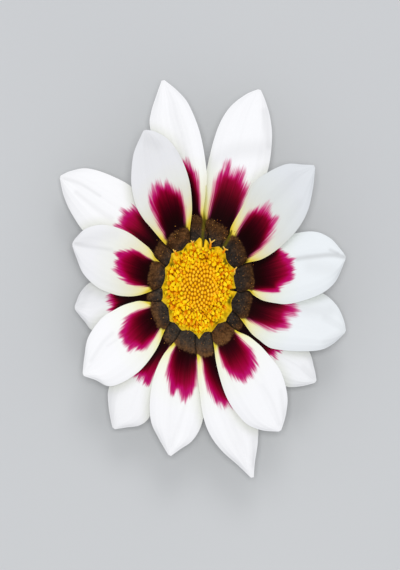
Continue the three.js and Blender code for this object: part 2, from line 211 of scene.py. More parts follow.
class Output:
    """The output of a node. Arithmetic on it adds a math node to the same finish."""

    def __init__(self, finish, socket):
        self.finish = finish
        self.socket = socket

    def math(self, operation, a, b):
        return self.finish.node("ShaderNodeMath", a, b, operation=operation)

    def __add__(self, other):
        return self.math("ADD", self, other)

    def __sub__(self, other):
        return self.math("SUBTRACT", self, other)

    def __rsub__(self, other):
        return self.math("SUBTRACT", other, self)

    def __mul__(self, other):
        return self.math("MULTIPLY", self, other)

    def __truediv__(self, other):
        return self.math("DIVIDE", self, other)

    def __pow__(self, other):
        return self.math("POWER", self, other)


print("mid grey on a screen is", round(float(paint("808080")[0]), 3), "for a shader")

# %% [markdown]
# ## A short way to write materials
#
# A procedural finish is a chain of nodes: something to read, some arithmetic, a ramp of colours, and
# the shader. Written out in full, each node takes several lines, so this class keeps one material
# and adds a node per call. Every call hands back the node's output, ready for the next.

# %% The finish maker
class Finish:
    """One material, built a node at a time."""

    def __init__(self, name, roughness, **settings):
        self.material = bpy.data.materials.new(name)
        self.material.use_nodes = True
        self.nodes = self.material.node_tree.nodes
        self.shader = self.nodes["Principled BSDF"]
        self.shader.inputs["Roughness"].default_value = roughness
        for socket, value in settings.items():
            self.shader.inputs[socket.replace("_", " ")].default_value = value

    def node(self, kind, *sources, out=0, **options):
        """A node of that kind with its inputs set in order: an output is linked and a value is set."""
        made = self.nodes.new(kind)
        for option, value in options.items():
            setattr(made, option, value)
        for socket, source in zip(made.inputs, sources):
            self.feed(socket, source)
        return Output(self, made.outputs[out])

    def feed(self, socket, source):
        """Links an output to a socket or sets the socket to a value; None leaves it as it is."""
        if isinstance(source, Output):
            self.material.node_tree.links.new(source.socket, socket)
        elif source is not None:
            socket.default_value = source

    def mark(self, name):
        """The value that add_piece stored on each point under that name."""
        return self.node("ShaderNodeAttribute", out="Fac", attribute_name=name)

    def step(self, value, start, end, low=0.0, high=1.0):
        """low before start, high after end, and an S-curve between them."""
        kind = "SMOOTHSTEP"
        return self.node("ShaderNodeMapRange", value, start, end, low, high, interpolation_type=kind)

    def ramp(self, value, *stops):
        """Colours along a value: each stop is a place from 0 to 1 and a colour code."""
        made = self.node("ShaderNodeValToRGB", value)
        elements = made.socket.node.color_ramp.elements
        for spot, (place, code) in enumerate(stops):
            element = elements[spot] if spot < len(elements) else elements.new(place)
            element.position = place
            element.color = paint(code)
        return made

    def blend(self, share, a, b):
        """Colour a where share is 0 and b where it is 1. A colour code may stand for either."""
        made = self.nodes.new("ShaderNodeMix")
        made.data_type = "RGBA"
        self.feed(made.inputs[0], share)
        for socket, colour in ((made.inputs[6], a), (made.inputs[7], b)):
            self.feed(socket, paint(colour) if isinstance(colour, str) else colour)
        return Output(self, made.outputs[2])

    def grain(self, scale, detail=3.0, source="Object", stretch=(1, 1, 1)):
        """Noise from 0 to 1 on the piece's own coordinates, stretched by a factor per axis."""
        place = self.node("ShaderNodeTexCoord", out=source)
        place = self.node("ShaderNodeMapping", place, None, None, stretch)
        noise = self.node("ShaderNodeTexNoise", place)
        noise.socket.node.inputs["Scale"].default_value = scale
        noise.socket.node.inputs["Detail"].default_value = detail
        return noise

    def bump(self, height, strength, distance):
        """Fine relief that is too small for the mesh; distance is the height in metres."""
        made = self.nodes.new("ShaderNodeBump")
        made.inputs["Strength"].default_value = strength
        made.inputs["Distance"].default_value = distance
        self.feed(made.inputs["Height"], height)
        self.feed(self.shader.inputs["Normal"], Output(self, made.outputs[0]))

    def done(self, colour, roughness=None):
        """The material, once its colour, and a roughness that varies where there is one, are linked."""
        self.feed(self.shader.inputs["Base Color"], colour)
        self.feed(self.shader.inputs["Roughness"], roughness)
        print(f"finish {self.material.name}: {len(self.nodes)} nodes")
        return self.material

# %% [markdown]
# ## The outlines of the rays
#
# No two petals of a real head are alike: each has its own width, bend and tip, and each lies over or
# under its neighbours in its own way. So each ray is drawn as two edge curves from the disc to the
# tip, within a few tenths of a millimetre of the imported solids. `ccw` is its counter-clockwise side
# and `cw` its clockwise one. `root` is the angle of its claw, `over` says which edges lie over the
# neighbour's, and `lift` is how many mm it stands up or hangs down, 40 mm out. `flame` is the
# outline of its crimson marking, drawn round from the pad. `pad` is how far from the middle of the
# head its dark pad reaches, and how far that border falls back at each edge.

# %% The fifteen rays
RAYS = [
    dict(root=93, over=(0, 1), lift=0, tip=(-7.4, 41.2), pad=(14.1, 1, 1.4),
         ccw=[(-3.3, 13.6), (-5.4, 19), (-8.4, 25.5), (-10, 31.8), (-9.8, 34.8), (-8.7, 38.3)],
         cw=[(0.6, 13.6), (1.3, 20), (1.2, 24), (0, 30.6), (-2.2, 36.2), (-4.4, 39)],
         flame=[(-2, 9), (-3, 13), (-4.4, 18), (-4.8, 22), (-4.2, 25), (-3.5, 25.3), (-2.9, 25.4),
                (-1.9, 24.1), (-0.7, 22.7), (-0.2, 20.8), (0.1, 18.2), (0.1, 15.2), (0.2, 14.4), (0.7, 13),
                (0.7, 9)]),
    dict(root=69, over=(0, 0), lift=-0.5, tip=(11.9, 39.4), pad=(13.6, 0.5, 1.3),
         ccw=[(0.3, 13.6), (0.9, 18.5), (1.5, 24), (3.4, 31.2), (5.8, 35.6), (9, 38.3)],
         cw=[(6.9, 11.6), (10.4, 16.8), (13.4, 22.6), (14.4, 29), (14.1, 33.6), (13.1, 37.2)],
         flame=[(1, 9), (1.1, 12.6), (1.3, 13.2), (1.5, 14), (1.8, 15.4), (2.1, 17), (2.5, 19),
                (2.8, 20.8), (3.7, 22.6), (4.9, 23.2), (5.4, 24.4), (5.9, 24.8), (6.3, 23.5), (6.6, 22.6),
                (7.3, 23.3), (8.1, 23.8), (8.7, 22.6), (8.8, 21), (9.1, 20.6), (9.5, 19.6), (9.5, 18.4),
                (8.8, 16.4), (7.8, 14.2), (7, 12.2), (6.7, 11.2), (6.4, 10), (4.4, 8.6)]),
    dict(root=37, over=(1, 1), lift=4, tip=(22.8, 23.8), pad=(14, 1.4, 1.8),
         ccw=[(5.9, 10.2), (6.25, 11.9), (8.6, 16.2), (10.5, 20.4), (13.4, 22.6), (17.2, 24.3),
              (20.4, 24.2)],
         cw=[(9.2, 4.6), (12.4, 5.4), (15.8, 7.6), (19.2, 11), (21.4, 14.8), (22.5, 19.4)],
         flame=[(5.4, 7.2), (7.15, 10.3), (7.7, 11.5), (8.6, 13.1), (9.4, 14.4), (10.3, 15.2),
                (11.2, 15.4), (12, 15.3), (13, 15.9), (13.9, 16.5), (13.9, 14.9), (14.6, 14), (15.4, 13.6),
                (15, 12.6), (14.8, 11.2), (14, 9.8), (13.3, 8.6), (12.3, 7.4), (10.9, 6.4), (9.5, 5.2),
                (9.2, 4.6), (7.4, 3.4)]),
    dict(root=9, over=(0, 1), lift=1.5, tip=(29.1, 5.6), pad=(14.5, 0.3, 1.8),
         ccw=[(9.6, 5), (13, 7.6), (17.6, 10.1), (22.6, 10.9), (26, 9.6), (28.2, 7.2)],
         cw=[(9.7, -0.9), (10.5, -1.65), (11.4, -2.3), (12.8, -2.95), (15, -3.4), (17.5, -3.6), (21, -2.8),
             (24.6, -1.3), (27.2, 1.1)],
         flame=[(7, 3), (10, 5.6), (13, 8), (15.4, 8.4), (16.2, 7.4), (17, 7), (17.5, 5.6), (18.8, 5.4),
                (18.5, 4.2), (19.1, 3.2), (18.8, 2.4), (18.4, 1.4), (17.8, 0.8), (16.8, 0.2), (16, -0.4),
                (15.8, -1.3), (14.4, -1.45), (12.3, -1.15), (10.2, -0.7), (7, -0.4)]),
    dict(root=-17, over=(0, 1), lift=-0.5, tip=(29.1, -9.2), pad=(14.1, 0.2, 1.6),
         ccw=[(10, -0.5), (14.5, -0.2), (20, -0.3), (24.6, -1.5), (27.4, -3.9), (28.8, -6.8)],
         cw=[(8.6, -7.2), (10.3, -9.5), (11.85, -10.8), (13.4, -12), (15, -12.6), (19.5, -13.05),
             (24, -12.8), (26.6, -11.6)],
         flame=[(7, -1), (11, -0.8), (16, -1.6), (17.4, -3), (18.5, -3.7), (19.6, -5), (19.1, -6),
                (17.5, -6.2), (17.8, -6.8), (18.1, -7.4), (17.3, -8.4), (16, -8.7), (15, -9), (13.6, -8.7),
                (12.4, -8.2), (11, -7.55), (9.1, -6.6), (7, -5.4)]),
    dict(root=-37, over=(0, 0), lift=-2.5, tip=(23.2, -19.2), pad=(13.8, 0.5, 0.5),
         ccw=[(9, -6.4), (12.6, -9.2), (17.6, -10.6), (21.6, -12.8), (22.9, -16.4)],
         cw=[(6.6, -9.6), (9.6, -13.6), (13.2, -18.4), (17.2, -20.1), (20.2, -20.1)],
         flame=[(6.6, -4.6), (9, -6), (12, -8.6), (15, -11), (16.6, -12.6), (16, -13.2), (15.2, -13.4),
                (15.1, -14.8), (14.4, -14.2), (13.4, -15.4), (11.5, -15), (9.5, -12.6), (7.4, -9.8),
                (5.2, -6.8)]),
    dict(root=-58, over=(1, 1), lift=1.5, tip=(16, -28.9), pad=(13.1, 0.4, 1.4),
         ccw=[(7.4, -9), (9.6, -10), (11.1, -11.1), (12.9, -12.8), (16, -16.8), (17.4, -21.6),
              (17.2, -25.4)],
         cw=[(2.8, -12), (3.3, -15.6), (4.4, -19.8), (5.6, -22.8), (7, -25), (9.4, -27.6), (12.4, -28.8)],
         flame=[(5, -6), (7, -9.1), (8.4, -10.7), (9.2, -11.5), (10.3, -12.5), (10.95, -13.9),
                (11.2, -15.5), (10.8, -16.9), (10.5, -18.3), (9.9, -18.1), (9.6, -18.8), (9, -19.1),
                (8.2, -18.8), (7.4, -18.8), (5.8, -17.6), (4.6, -16.2), (4.2, -14.8), (3.75, -13.4),
                (3.5, -12), (3, -9)]),
    dict(root=-82, over=(0, 1), lift=-1, tip=(10.5, -38.4), pad=(14, 0.5, 0.5),
         ccw=[(3.4, -12.4), (5.8, -17.4), (9.2, -22.6), (11.4, -27), (11.6, -31), (11, -35.4)],
         cw=[(-0.65, -13.4), (-0.45, -15.8), (-0.3, -19), (0.55, -25.6), (2, -29.7), (4.4, -33),
             (7.6, -35.9)],
         flame=[(2.4, -9), (4.2, -13), (6, -17), (8.2, -21), (8, -24), (6.2, -24.2), (5.6, -23.8),
                (4.8, -24.6), (4, -23.6), (3, -23.2), (2.4, -22.2), (1.6, -20.8), (0.95, -18.8),
                (0.65, -17.2), (0.5, -15.4), (0.2, -14.2), (-0.3, -13.2), (-0.3, -9)]),
    dict(root=-106, over=(0, 1), lift=-1, tip=(-6.1, -33.9), pad=(13.4, -0.3, 0.4),
         ccw=[(0.2, -13.4), (0.8, -18.4), (1.2, -23), (0.2, -28), (-1.6, -31), (-4, -32.7)],
         cw=[(-5, -11), (-7.4, -13.9), (-9.2, -18), (-10, -22.6), (-9.8, -27), (-8.3, -30.4)],
         flame=[(-0.1, -9), (-0.1, -13.3), (-0.5, -14.3), (-0.6, -15), (-0.55, -16.8), (-0.6, -18.4),
                (-0.7, -20), (-1.7, -21.4), (-2.6, -22.4), (-3.1, -23.2), (-3.6, -23), (-4.4, -20.9),
                (-5.1, -22), (-5.8, -21.6), (-6.2, -19.8), (-6.7, -17.8), (-6.5, -15.8), (-5.9, -13.8),
                (-4.9, -11.8), (-3.4, -8.6)]),
    dict(root=-129, over=(0, 0), lift=-3, tip=(-17.3, -28.6), pad=(14.2, 0.3, 0.5),
         ccw=[(-4.5, -12), (-7.2, -16.5), (-8.6, -21.5), (-10, -26), (-12, -27.9), (-15, -28.4)],
         cw=[(-7.8, -8.7), (-11.8, -12.4), (-16.4, -16.4), (-18.3, -20.6), (-18.4, -23.6), (-18, -26.5)],
         flame=[(-3.6, -8), (-5.6, -11.4), (-7, -13.8), (-8, -15.6), (-9, -17.8), (-9.7, -19.3),
                (-10.2, -19.9), (-11.2, -19.5), (-11.6, -18.3), (-12.2, -19), (-12.8, -18.4),
                (-13.6, -17.6), (-13.6, -15.6), (-11, -12), (-8.4, -9), (-5.6, -6.4)]),
    dict(root=-151, over=(1, 1), lift=1.5, tip=(-23.3, -17.7), pad=(13.8, 1.1, 0.3),
         ccw=[(-7.1, -9), (-8.8, -12.8), (-11.8, -16.7), (-15.2, -19.1), (-18.2, -20), (-20.8, -18.8)],
         cw=[(-9.8, -3.2), (-12.1, -3), (-13.6, -3.3), (-15.2, -3.8), (-16.8, -4.6), (-19.6, -6.4),
             (-22.3, -10.2), (-23.1, -14.2)],
         flame=[(-6.6, -5.8), (-8.2, -8.9), (-9, -10.3), (-9.8, -11.4), (-10.6, -12.5), (-11.8, -13.1),
                (-12.3, -12.6), (-13.1, -12.2), (-14.2, -12.9), (-14.6, -12.2), (-15.3, -11.6),
                (-15.9, -10.4), (-15.9, -9.2), (-15.5, -7.8), (-14.9, -6.5), (-13.8, -5.4), (-12.4, -4.8),
                (-10.4, -4.25), (-7.4, -3.3)]),
    dict(root=-171, over=(0, 0), lift=-2.5, tip=(-25.1, -4.4), pad=(14.2, 0.5, 0.5),
         ccw=[(-9.9, -4), (-13.6, -6), (-17.6, -8.4), (-21.3, -9), (-23.3, -6.9)],
         cw=[(-9.9, -0.3), (-13.8, 1), (-18.2, 2), (-21.7, 0.9), (-23.9, -1.2)],
         flame=[(-7, -2.6), (-10.4, -4.6), (-14, -6), (-17.4, -5.8), (-18.3, -5), (-17.8, -3.6),
                (-18.6, -2.7), (-17.9, -1.4), (-17, 0.6), (-14, 0.6), (-10, 0.4), (-7, 0)]),
    dict(root=170, over=(1, 1), lift=5, tip=(-25.4, 8.2), pad=(13.8, 0.9, 1.9),
         ccw=[(-9.9, -1.1), (-12.4, -1.9), (-14.8, -2.05), (-17.2, -1.65), (-20.4, -0.3), (-23.2, 2.4),
              (-24.6, 5.6)],
         cw=[(-8.9, 5.6), (-9.7, 7), (-11, 8.3), (-14.7, 10.9), (-19, 12.2), (-22.6, 11.5), (-24.7, 9.6)],
         flame=[(-7, 0), (-10.2, -0.2), (-13, 0), (-14.5, 0.4), (-15.5, 1.5), (-16.3, 2.5), (-17.3, 3.5),
                (-16.8, 4), (-17.1, 4.9), (-16.6, 5.7), (-17, 6.5), (-15.8, 7), (-14.6, 7.2), (-13.4, 7.3),
                (-12, 6.9), (-10.7, 5.9), (-9.3, 5.1), (-6.8, 3.6)]),
    dict(root=147, over=(0, 0), lift=-1.5, tip=(-28.1, 21.9), pad=(14, 0.5, 0.5),
         ccw=[(-9, 4.5), (-13, 7.4), (-18.4, 8.4), (-22.6, 10.3), (-25.5, 14.1), (-27.3, 17.9)],
         cw=[(-6.6, 9.4), (-9.4, 14), (-13.2, 19.4), (-18, 22.2), (-22.6, 23.6), (-26, 23.1)],
         flame=[(-6.6, 5), (-10, 6.6), (-14, 9.4), (-16.9, 12), (-16.2, 12.8), (-16, 13.8), (-15.5, 14.4),
                (-15.7, 15.1), (-14.6, 15.1), (-13.3, 15.9), (-12.4, 15.4), (-10.4, 14.4), (-7.6, 10.6),
                (-5, 7)]),
    dict(root=121, over=(1, 1), lift=10, tip=(-10.9, 30.9), pad=(12.8, 0.5, 1.3),
         ccw=[(-7.3, 8.7), (-10.2, 12.1), (-11.15, 13.2), (-12.6, 15.6), (-13.35, 18.2), (-13.7, 21.4),
              (-13.2, 26.2), (-11.7, 29.8)],
         cw=[(-2, 11.6), (-1.6, 15.6), (-2.1, 20.8), (-3.8, 25.6), (-6.2, 29), (-8.8, 30.6)],
         flame=[(-5, 7.4), (-7.1, 9.4), (-7.45, 10.6), (-8.3, 12), (-8.9, 13.5), (-9.7, 15.1),
                (-10.1, 16.7), (-9.6, 18.3), (-9.3, 20), (-8.4, 20.7), (-7.6, 20.3), (-6.7, 20.7),
                (-5.8, 20), (-5, 19.4), (-4, 18.8), (-3.4, 17.8), (-2.9, 15.8), (-2.8, 12.8), (-2.6, 11),
                (-2.8, 8)]),
]
print("rays:", len(RAYS), "with", sum(len(r["flame"]) for r in RAYS), "flame points")

# %% [markdown]
# ## The blade of a ray
#
# A ray floret is a thin strap, about a third of a millimetre thick, held by a narrow claw under the
# disc. It climbs a little just outside the disc, then bends down. It has its own place in the stack
# at each edge, and its own lift. Two soft ridges run along it and its edges turn down. It could be
# sculpted by hand, but a formula keeps all fifteen clear of each other, just as in the solids.

# %% The shape of one blade
RAY_Z = 10.6
CLAW_RADIUS = 7
CLAW_WIDTH = 2
SEAM_RADIUS = 10.6
SEAM_OVERLAP = 2
TIP_WIDTH = 0.6
BLADE_THICKNESS = 0.36
ROWS = 130
COLUMNS = 45

CLIMB = 1.2
CLIMB_START, CLIMB_END = 10, 22
DROOP = 2.2
DROOP_LENGTH = 20
STACK_STEP = 0.72
STACK_GROWTH = 0.3
LIFT_START = 12
LIFT_LENGTH = 28
RIDGE = 0.25
EDGE_DROP = 0.35


def unit(vectors):
    """The same directions with a length of one."""
    return vectors / np.linalg.norm(vectors, axis=-1, keepdims=True)


def edge_points(index, side, along):
    """One edge of a ray, side +1 for counter-clockwise: claw, seam with the neighbour, its points, tip."""
    ray, neighbour = RAYS[index], RAYS[(index - side) % len(RAYS)]
    outward = unit(on_oval(1, ray["root"]))
    left = np.array([-outward[1], outward[0]])
    apart = (side * (neighbour["root"] - ray["root"])) % 360
    seam = on_oval(SEAM_RADIUS, ray["root"] + side * (apart / 2 + SEAM_OVERLAP))
    across = unit(np.subtract(ray["ccw"][-1], ray["cw"][-1]))
    claw = on_oval(CLAW_RADIUS, ray["root"]) + left * side * CLAW_WIDTH / 2
    tip = np.array(ray["tip"]) + across * side * TIP_WIDTH / 2
    return curve_through([claw, seam, *ray["ccw" if side > 0 else "cw"], tip], along)


def blade_height(ray, radius, across, along):
    """Height of the middle of a blade.

    The common spread climbs along an S-curve and then bends down with the square of the radius. To
    that come the step of an edge that lies over its neighbour, the ray's own lift, which grows with
    the square of the radius too, two cosine ridges, and a parabola that turns both edges down.
    """
    droop = DROOP * (np.maximum(0, radius - CLIMB_END) / DROOP_LENGTH) ** 2
    spread = RAY_Z + CLIMB * smooth(CLIMB_START, CLIMB_END, radius) - droop
    turn = mix(smooth(0.3, 0.9, across), 0.5, smooth(0.75, 1, along))
    step = STACK_STEP + STACK_GROWTH * smooth(LIFT_START, CLIMB_END, radius)
    stack = step * (ray["over"][0] * (1 - turn) + ray["over"][1] * turn)
    lift = ray["lift"] * (np.maximum(0, radius - LIFT_START) / LIFT_LENGTH) ** 2
    blade = smooth(0.25, 0.5, along) * (1 - smooth(0.85, 1, along))
    ridges = 0.5 - 0.5 * np.cos(4 * np.pi * across)
    return spread + stack + lift + blade * (RIDGE * ridges - EDGE_DROP * (2 * across - 1) ** 2)


def blade_grids(index):
    """Grids of one blade: x, y, height, share across, share along, and radius from the middle."""
    along = np.linspace(0, 1, ROWS)
    across = np.linspace(0, 1, COLUMNS)[None, :]
    ccw, cw = (edge_points(index, side, along)[:, None, :] for side in (1, -1))
    plan = mix(ccw, cw, across[..., None])
    x, y = plan[..., 0], plan[..., 1]
    radius = oval_radius(x, y)
    along = np.broadcast_to(along[:, None], x.shape)
    across = np.broadcast_to(across, x.shape)
    return x, y, blade_height(RAYS[index], radius, across, along), across, along, radius


longest = np.ptp(blade_grids(0)[1])
print("a blade is a grid of", ROWS, "by", COLUMNS, "points; the first runs", round(longest, 1), "mm along Y")

# %% [markdown]
# ## Marks for the petal's colours
#
# Round the disc every ray has a dark cushion, the pad. Beyond it a crimson flame runs out along the
# petal and ends in feathered points, and beside it the margins are pale yellow. All of these follow
# the shape of each petal, so they are measured on it: each point stores how deep it lies inside the
# pad and the flame, and the finish turns those depths into colour. The pad is also raised a little,
# because on the real flower it is a swollen velvety cushion.

# %% Marks of one blade
def inside_by(x, y, outline):
    """How far each point lies inside a closed outline, in mm, and below zero outside it.

    The distance is the smallest one to any straight side, and a point is inside when a line from
    it to the right crosses the outline an odd number of times.
    """
    a = np.array(outline, float)
    b = np.roll(a, -1, axis=0)
    p = np.stack([x.ravel(), y.ravel()], -1)[:, None, :]
    side = b - a
    share = np.clip(((p - a) * side).sum(-1) / (side**2).sum(-1), 0, 1)
    distance = np.linalg.norm(p - a - share[..., None] * side, axis=-1).min(1)
    px, py = p[..., 0], p[..., 1]
    spans = (a[:, 1] > py) != (b[:, 1] > py)
    rise = np.where(side[:, 1] == 0, 1, side[:, 1])
    crossing = spans & (px < a[:, 0] + (py - a[:, 1]) / rise * side[:, 0])
    return np.where(crossing.sum(1) % 2, distance, -distance).reshape(x.shape)


def petal_marks(index, x, y, across, radius):
    """Depths in mm inside the pad and the flame, the share of the way out to the flame's tip, and
    the distance to the petal's nearer edge.

    The pad's border is an arc round the head that falls back towards each edge of the petal, by
    the fourth power of the distance from the petal's middle.
    """
    pad_end, fall_ccw, fall_cw = RAYS[index]["pad"]
    fall = np.where(across < 0.5, fall_ccw, fall_cw) * np.abs(2 * across - 1) ** 4
    pad = pad_end - fall - radius
    outline = RAYS[index]["flame"]
    flame = inside_by(x, y, outline)
    flame_end = oval_radius(*np.array(outline).T).max()
    reach = (radius - pad_end) / (flame_end - pad_end)
    width = np.hypot(x[:, -1] - x[:, 0], y[:, -1] - y[:, 0])[:, None]
    margin = np.minimum(across, 1 - across) * width
    return pad, flame, reach, margin


pad_ends = [ray["pad"][0] for ray in RAYS]
print("the pads end", min(pad_ends), "to", max(pad_ends), "mm from the middle")

# %% [markdown]
# ## The flame and the white
#
# The white is a cool one with hardly any gloss. The flame is nearly black by the pad, then crimson,
# and magenta at its far end and along its sides, with streaks along the veins. Noise that is
# stretched a long way along the petal makes those streaks: it pushes the flame's border in and out,
# so that the end breaks into feathers, and it also stirs the colours inside.

# %% Flame and white
def flame_colour(f, reach, streaks, border, depth):
    """Nearly black by the pad, crimson further out, magenta at the end and along the sides."""
    rim = f.step(border, -0.3, 1.9, 0.48, 0) * f.step(reach, -0.1, 0.25, 0.3, 1)
    rim = rim + f.mark("flare") * f.step(border, 0, 1.6, 1, 0)
    # painted shade: the flame grows darker next to the edge of a covering neighbour
    tone = reach + f.mark("glow") + (rim + (streaks - 0.5) * 0.3) - f.mark("contact_shade") * 0.25
    colour = f.ramp(
        tone, (0, "150204"), (0.12, "1B0204"), (0.22, "250106"), (0.33, "34000B"), (0.45, "4C0010"),
        (0.57, "6C001B"), (0.69, "8A002C"), (0.8, "9E013E"), (0.9, "AA024C"), (1, "B2095F")
    )
    fringe = f.step(depth, -0.2, 1.5, 0.8, 0) * f.step(reach, -0.05, 0.15)
    return f.blend(fringe, colour, "D23A88")


def white_colour(f, yellow):
    """White that turns yellow by the pad, a deep one on some petals and a pale one on others.

    It gets painted shade: greenish in under a neighbour, and grey on some petals and along the folds.
    """
    pale = f.ramp(
        yellow, (0, "F6F6F8"), (0.29, "F5F6F4"), (0.62, "F3F6E6"), (0.79, "F2F3D0"), (0.9, "F1EEB6"),
        (0.96, "EDE480"), (1, "E2D044")
    )
    deep = f.ramp(
        yellow, (0, "F6F6F8"), (0.29, "F2F3EA"), (0.5, "EDEAD2"), (0.66, "E9E2B8"), (0.81, "E8DD96"),
        (0.89, "E8D872"), (0.96, "E6CE4A"), (1, "DCBE38")
    )
    white = f.blend(f.mark("deepness"), pale, deep)
    clear = 1 - yellow
    # painted shade: greenish where the petal lies in under a neighbour
    white = f.blend(f.mark("shade") * (clear * 0.32), white, "CBD0B4")
    # painted shade: a grey, bluish on some petals, for petals that face the light less
    grey = f.blend(f.mark("cool"), "CBCDD3", "C8D6DC")
    white = f.blend(f.mark("grey") * f.step(clear, 0, 0.6), white, grey)
    # painted shade: a grey line along each fold
    return f.blend(f.mark("fold_shade") * clear, white, "B2B3B4")

# %% [markdown]
# ## The velvety pad
#
# The pad is covered in short dark hairs that swallow the light: brown where they thin out at its
# border, charcoal towards the disc. Real hairs would be far too many for so small a patch, so two
# grains of noise mottle a brown ramp and a charcoal one, and push the border between them in and
# out.

# %% Pad colours
def pad_colour(f, pad, fine, broad):
    """A velvety brown cushion that is charcoal towards the disc, and where it shows, from 0 to 1."""
    stir = fine * 0.5 + broad * 0.5 + f.mark("pad_light")
    charcoal = f.ramp(stir, (0.3, "1C1714"), (0.5, "302A26"), (0.72, "4C443C"))
    brown = f.ramp(stir, (0.3, "2A180B"), (0.5, "442C18"), (0.72, "6E4C2E"))
    warm = f.mark("warmth") + (broad - 0.5) * 1.6
    colour = f.blend(f.step(pad - warm * 2.4, -0.4, 3.2), brown, charcoal)
    specks = f.step(f.grain(4200, detail=1), 0.68, 0.76, 0, 0.6)
    colour = f.blend(specks, colour, "B07838")
    # painted shade: a dark line on the pad along the seams where petals overlap
    colour = f.blend(f.mark("seam") * 0.8, colour, "100C08")
    ragged = pad + (stir - 0.5) * 1.6
    return colour, f.step(ragged, -0.3, 0.35)

# %% [markdown]
# ## The whole petal
#
# The layers go on as they lie on a real petal: white first, the flame over it, the pad over both,
# and the olive creases over all three. The underside, which shows from low down, is a greenish white
# with a bronze stripe. One material that blends by depth keeps every border soft, where a material
# per patch of faces would leave it jagged.

# %% Whole petal finish
def petal_finish():
    """The whole petal: white, the flame over it, the pad over both, and the creases over all three."""
    f = Finish("petal", 0.5, Specular_IOR_Level=0.02)
    pad, reach, yellow, crease_shade = f.mark("pad"), f.mark("reach"), f.mark("yellow"), f.mark("crease_shade")
    strands = f.grain(1, 3, "UV", (32, 7, 1))
    streaks = f.grain(1, 4, "UV", (38, 3, 1))
    fine, broad = f.grain(2600, 3), f.grain(900, 4)

    # the border of the flame moves in and out along the strands, most of all at the far end
    border = f.mark("flame_depth") + (strands - 0.5) * f.step(reach, 0.35, 1, 0.35, 2.1)
    softness = f.step(reach, 0.1, 0.95, 0.26, 0.62) * f.mark("feather")
    depth = border / softness + (streaks - 0.5) * 2.4
    in_flame = 1 - (1 - f.step(depth, -0.76, 1)) ** 1.45
    upper = f.blend(in_flame, white_colour(f, yellow), flame_colour(f, reach, streaks, border, depth))

    # a crease is an olive line, darker over the pad; by the pads it is partly a painted shade where one
    # petal slips under the next
    olive = f.ramp(
        yellow, (0.5, "DAD8A8"), (0.78, "CBC67A"), (0.87, "C4BE66"), (0.93, "948C28"), (0.97, "6A6006"),
        (1, "625A14")
    )
    cushion, in_pad = pad_colour(f, pad, fine, broad)
    upper = f.blend(crease_shade, upper, olive)
    upper = f.blend(in_pad, upper, cushion)
    upper = f.blend(crease_shade * 0.85, upper, olive)

    # underneath: greenish white with a bronze purple stripe down the middle
    stripe = f.step(f.mark("stripe") + (strands - 0.5) * 0.5, 0.25, 0.8)
    lower = f.blend(stripe, "E6E8DA", "6E5A4E")
    veins = f.grain(1, 2, "UV", (30, 0.8, 1))
    f.bump(veins + fine * in_pad, 0.4, 0.1 * MM)
    return f.done(f.blend(f.mark("under"), upper, lower), f.step(in_pad, 0, 1, 0.5, 0.85))


petal = petal_finish()

# %% [markdown]
# ## Each petal's own tones
#
# On a real head no two petals have quite the same colour: some are yellower by the pad, and the
# flames glow more on one side. Petals that face the lamps less also get a painted grey shade, bluish
# on some. Random values could vary them, but a real head varies from side to side, so each ray has
# its own. A list has one value per ray, in the order of RAYS.

# %% Tones
OWN_TONES = dict(
    # how much painted grey shade the white gets and how bluish that shade is, and how deep the yellow beside
    # the pad
    grey=[0.08, 0.09, 0.62, 0.36, 0.32, 0.14, 0.1, 0.03, 0.02, 0, 0.03, 0.2, 0.26, 0, 0.37],
    cool=[0, 0, 0.3, 1, 1, 0.4, 0, 0, 0, 0, 0, 0, 0, 0, 0],
    deepness=[0.8, 1, 1, 0.7, 0.6, 0.4, 0.1, 0.2, 0.25, 0.2, 0.3, 0.3, 0.7, 0.1, 1],
    # how soft the border of the flame is, and how far its colour leans to magenta; the twelfth ray's low
    # value is a painted shade, as that flame lies in shade
    feather=[1.2, 1.8, 1.5, 0.9, 1.6, 1, 1.2, 1.2, 1.1, 1, 1.1, 1, 0.9, 1.3, 1.5],
    glow=[-0.04, -0.03, -0.13, -0.04, 0.04, 0, 0.1, 0.1, 0.06, 0.02, 0.02, -0.2, 0, 0.06, -0.1],
    # how far in the pad is brown, and how light it is
    warmth=[0.5, 0.5, 0.1, 0.1, 0, 0, 0.9, -0.2, -0.3, -0.2, 0, -0.1, 0.4, 0.6, 0.7],
    pad_light=[0, 0, -0.02, -0.02, 0, 0, 0.1, 0.12, 0.12, 0.1, 0.08, 0.06, 0.04, 0.02, 0],
)
# how many mm beyond the pad the yellow fades out
YELLOW_REACH = [13, 13, 19, 13, 13, 13, 13, 13, 13, 13, 13, 13, 16, 14, 14]
# lines along the sides of two flames that are brighter
FLARE = {3: [(10, -1), (14, -1.4), (16, -1)], 10: [(-9.5, -11.4), (-12, -13)]}
FLARE_HALF_WIDTH = 2.4
FLARE_STRENGTH = 0.35
print("tones:", ", ".join(OWN_TONES))
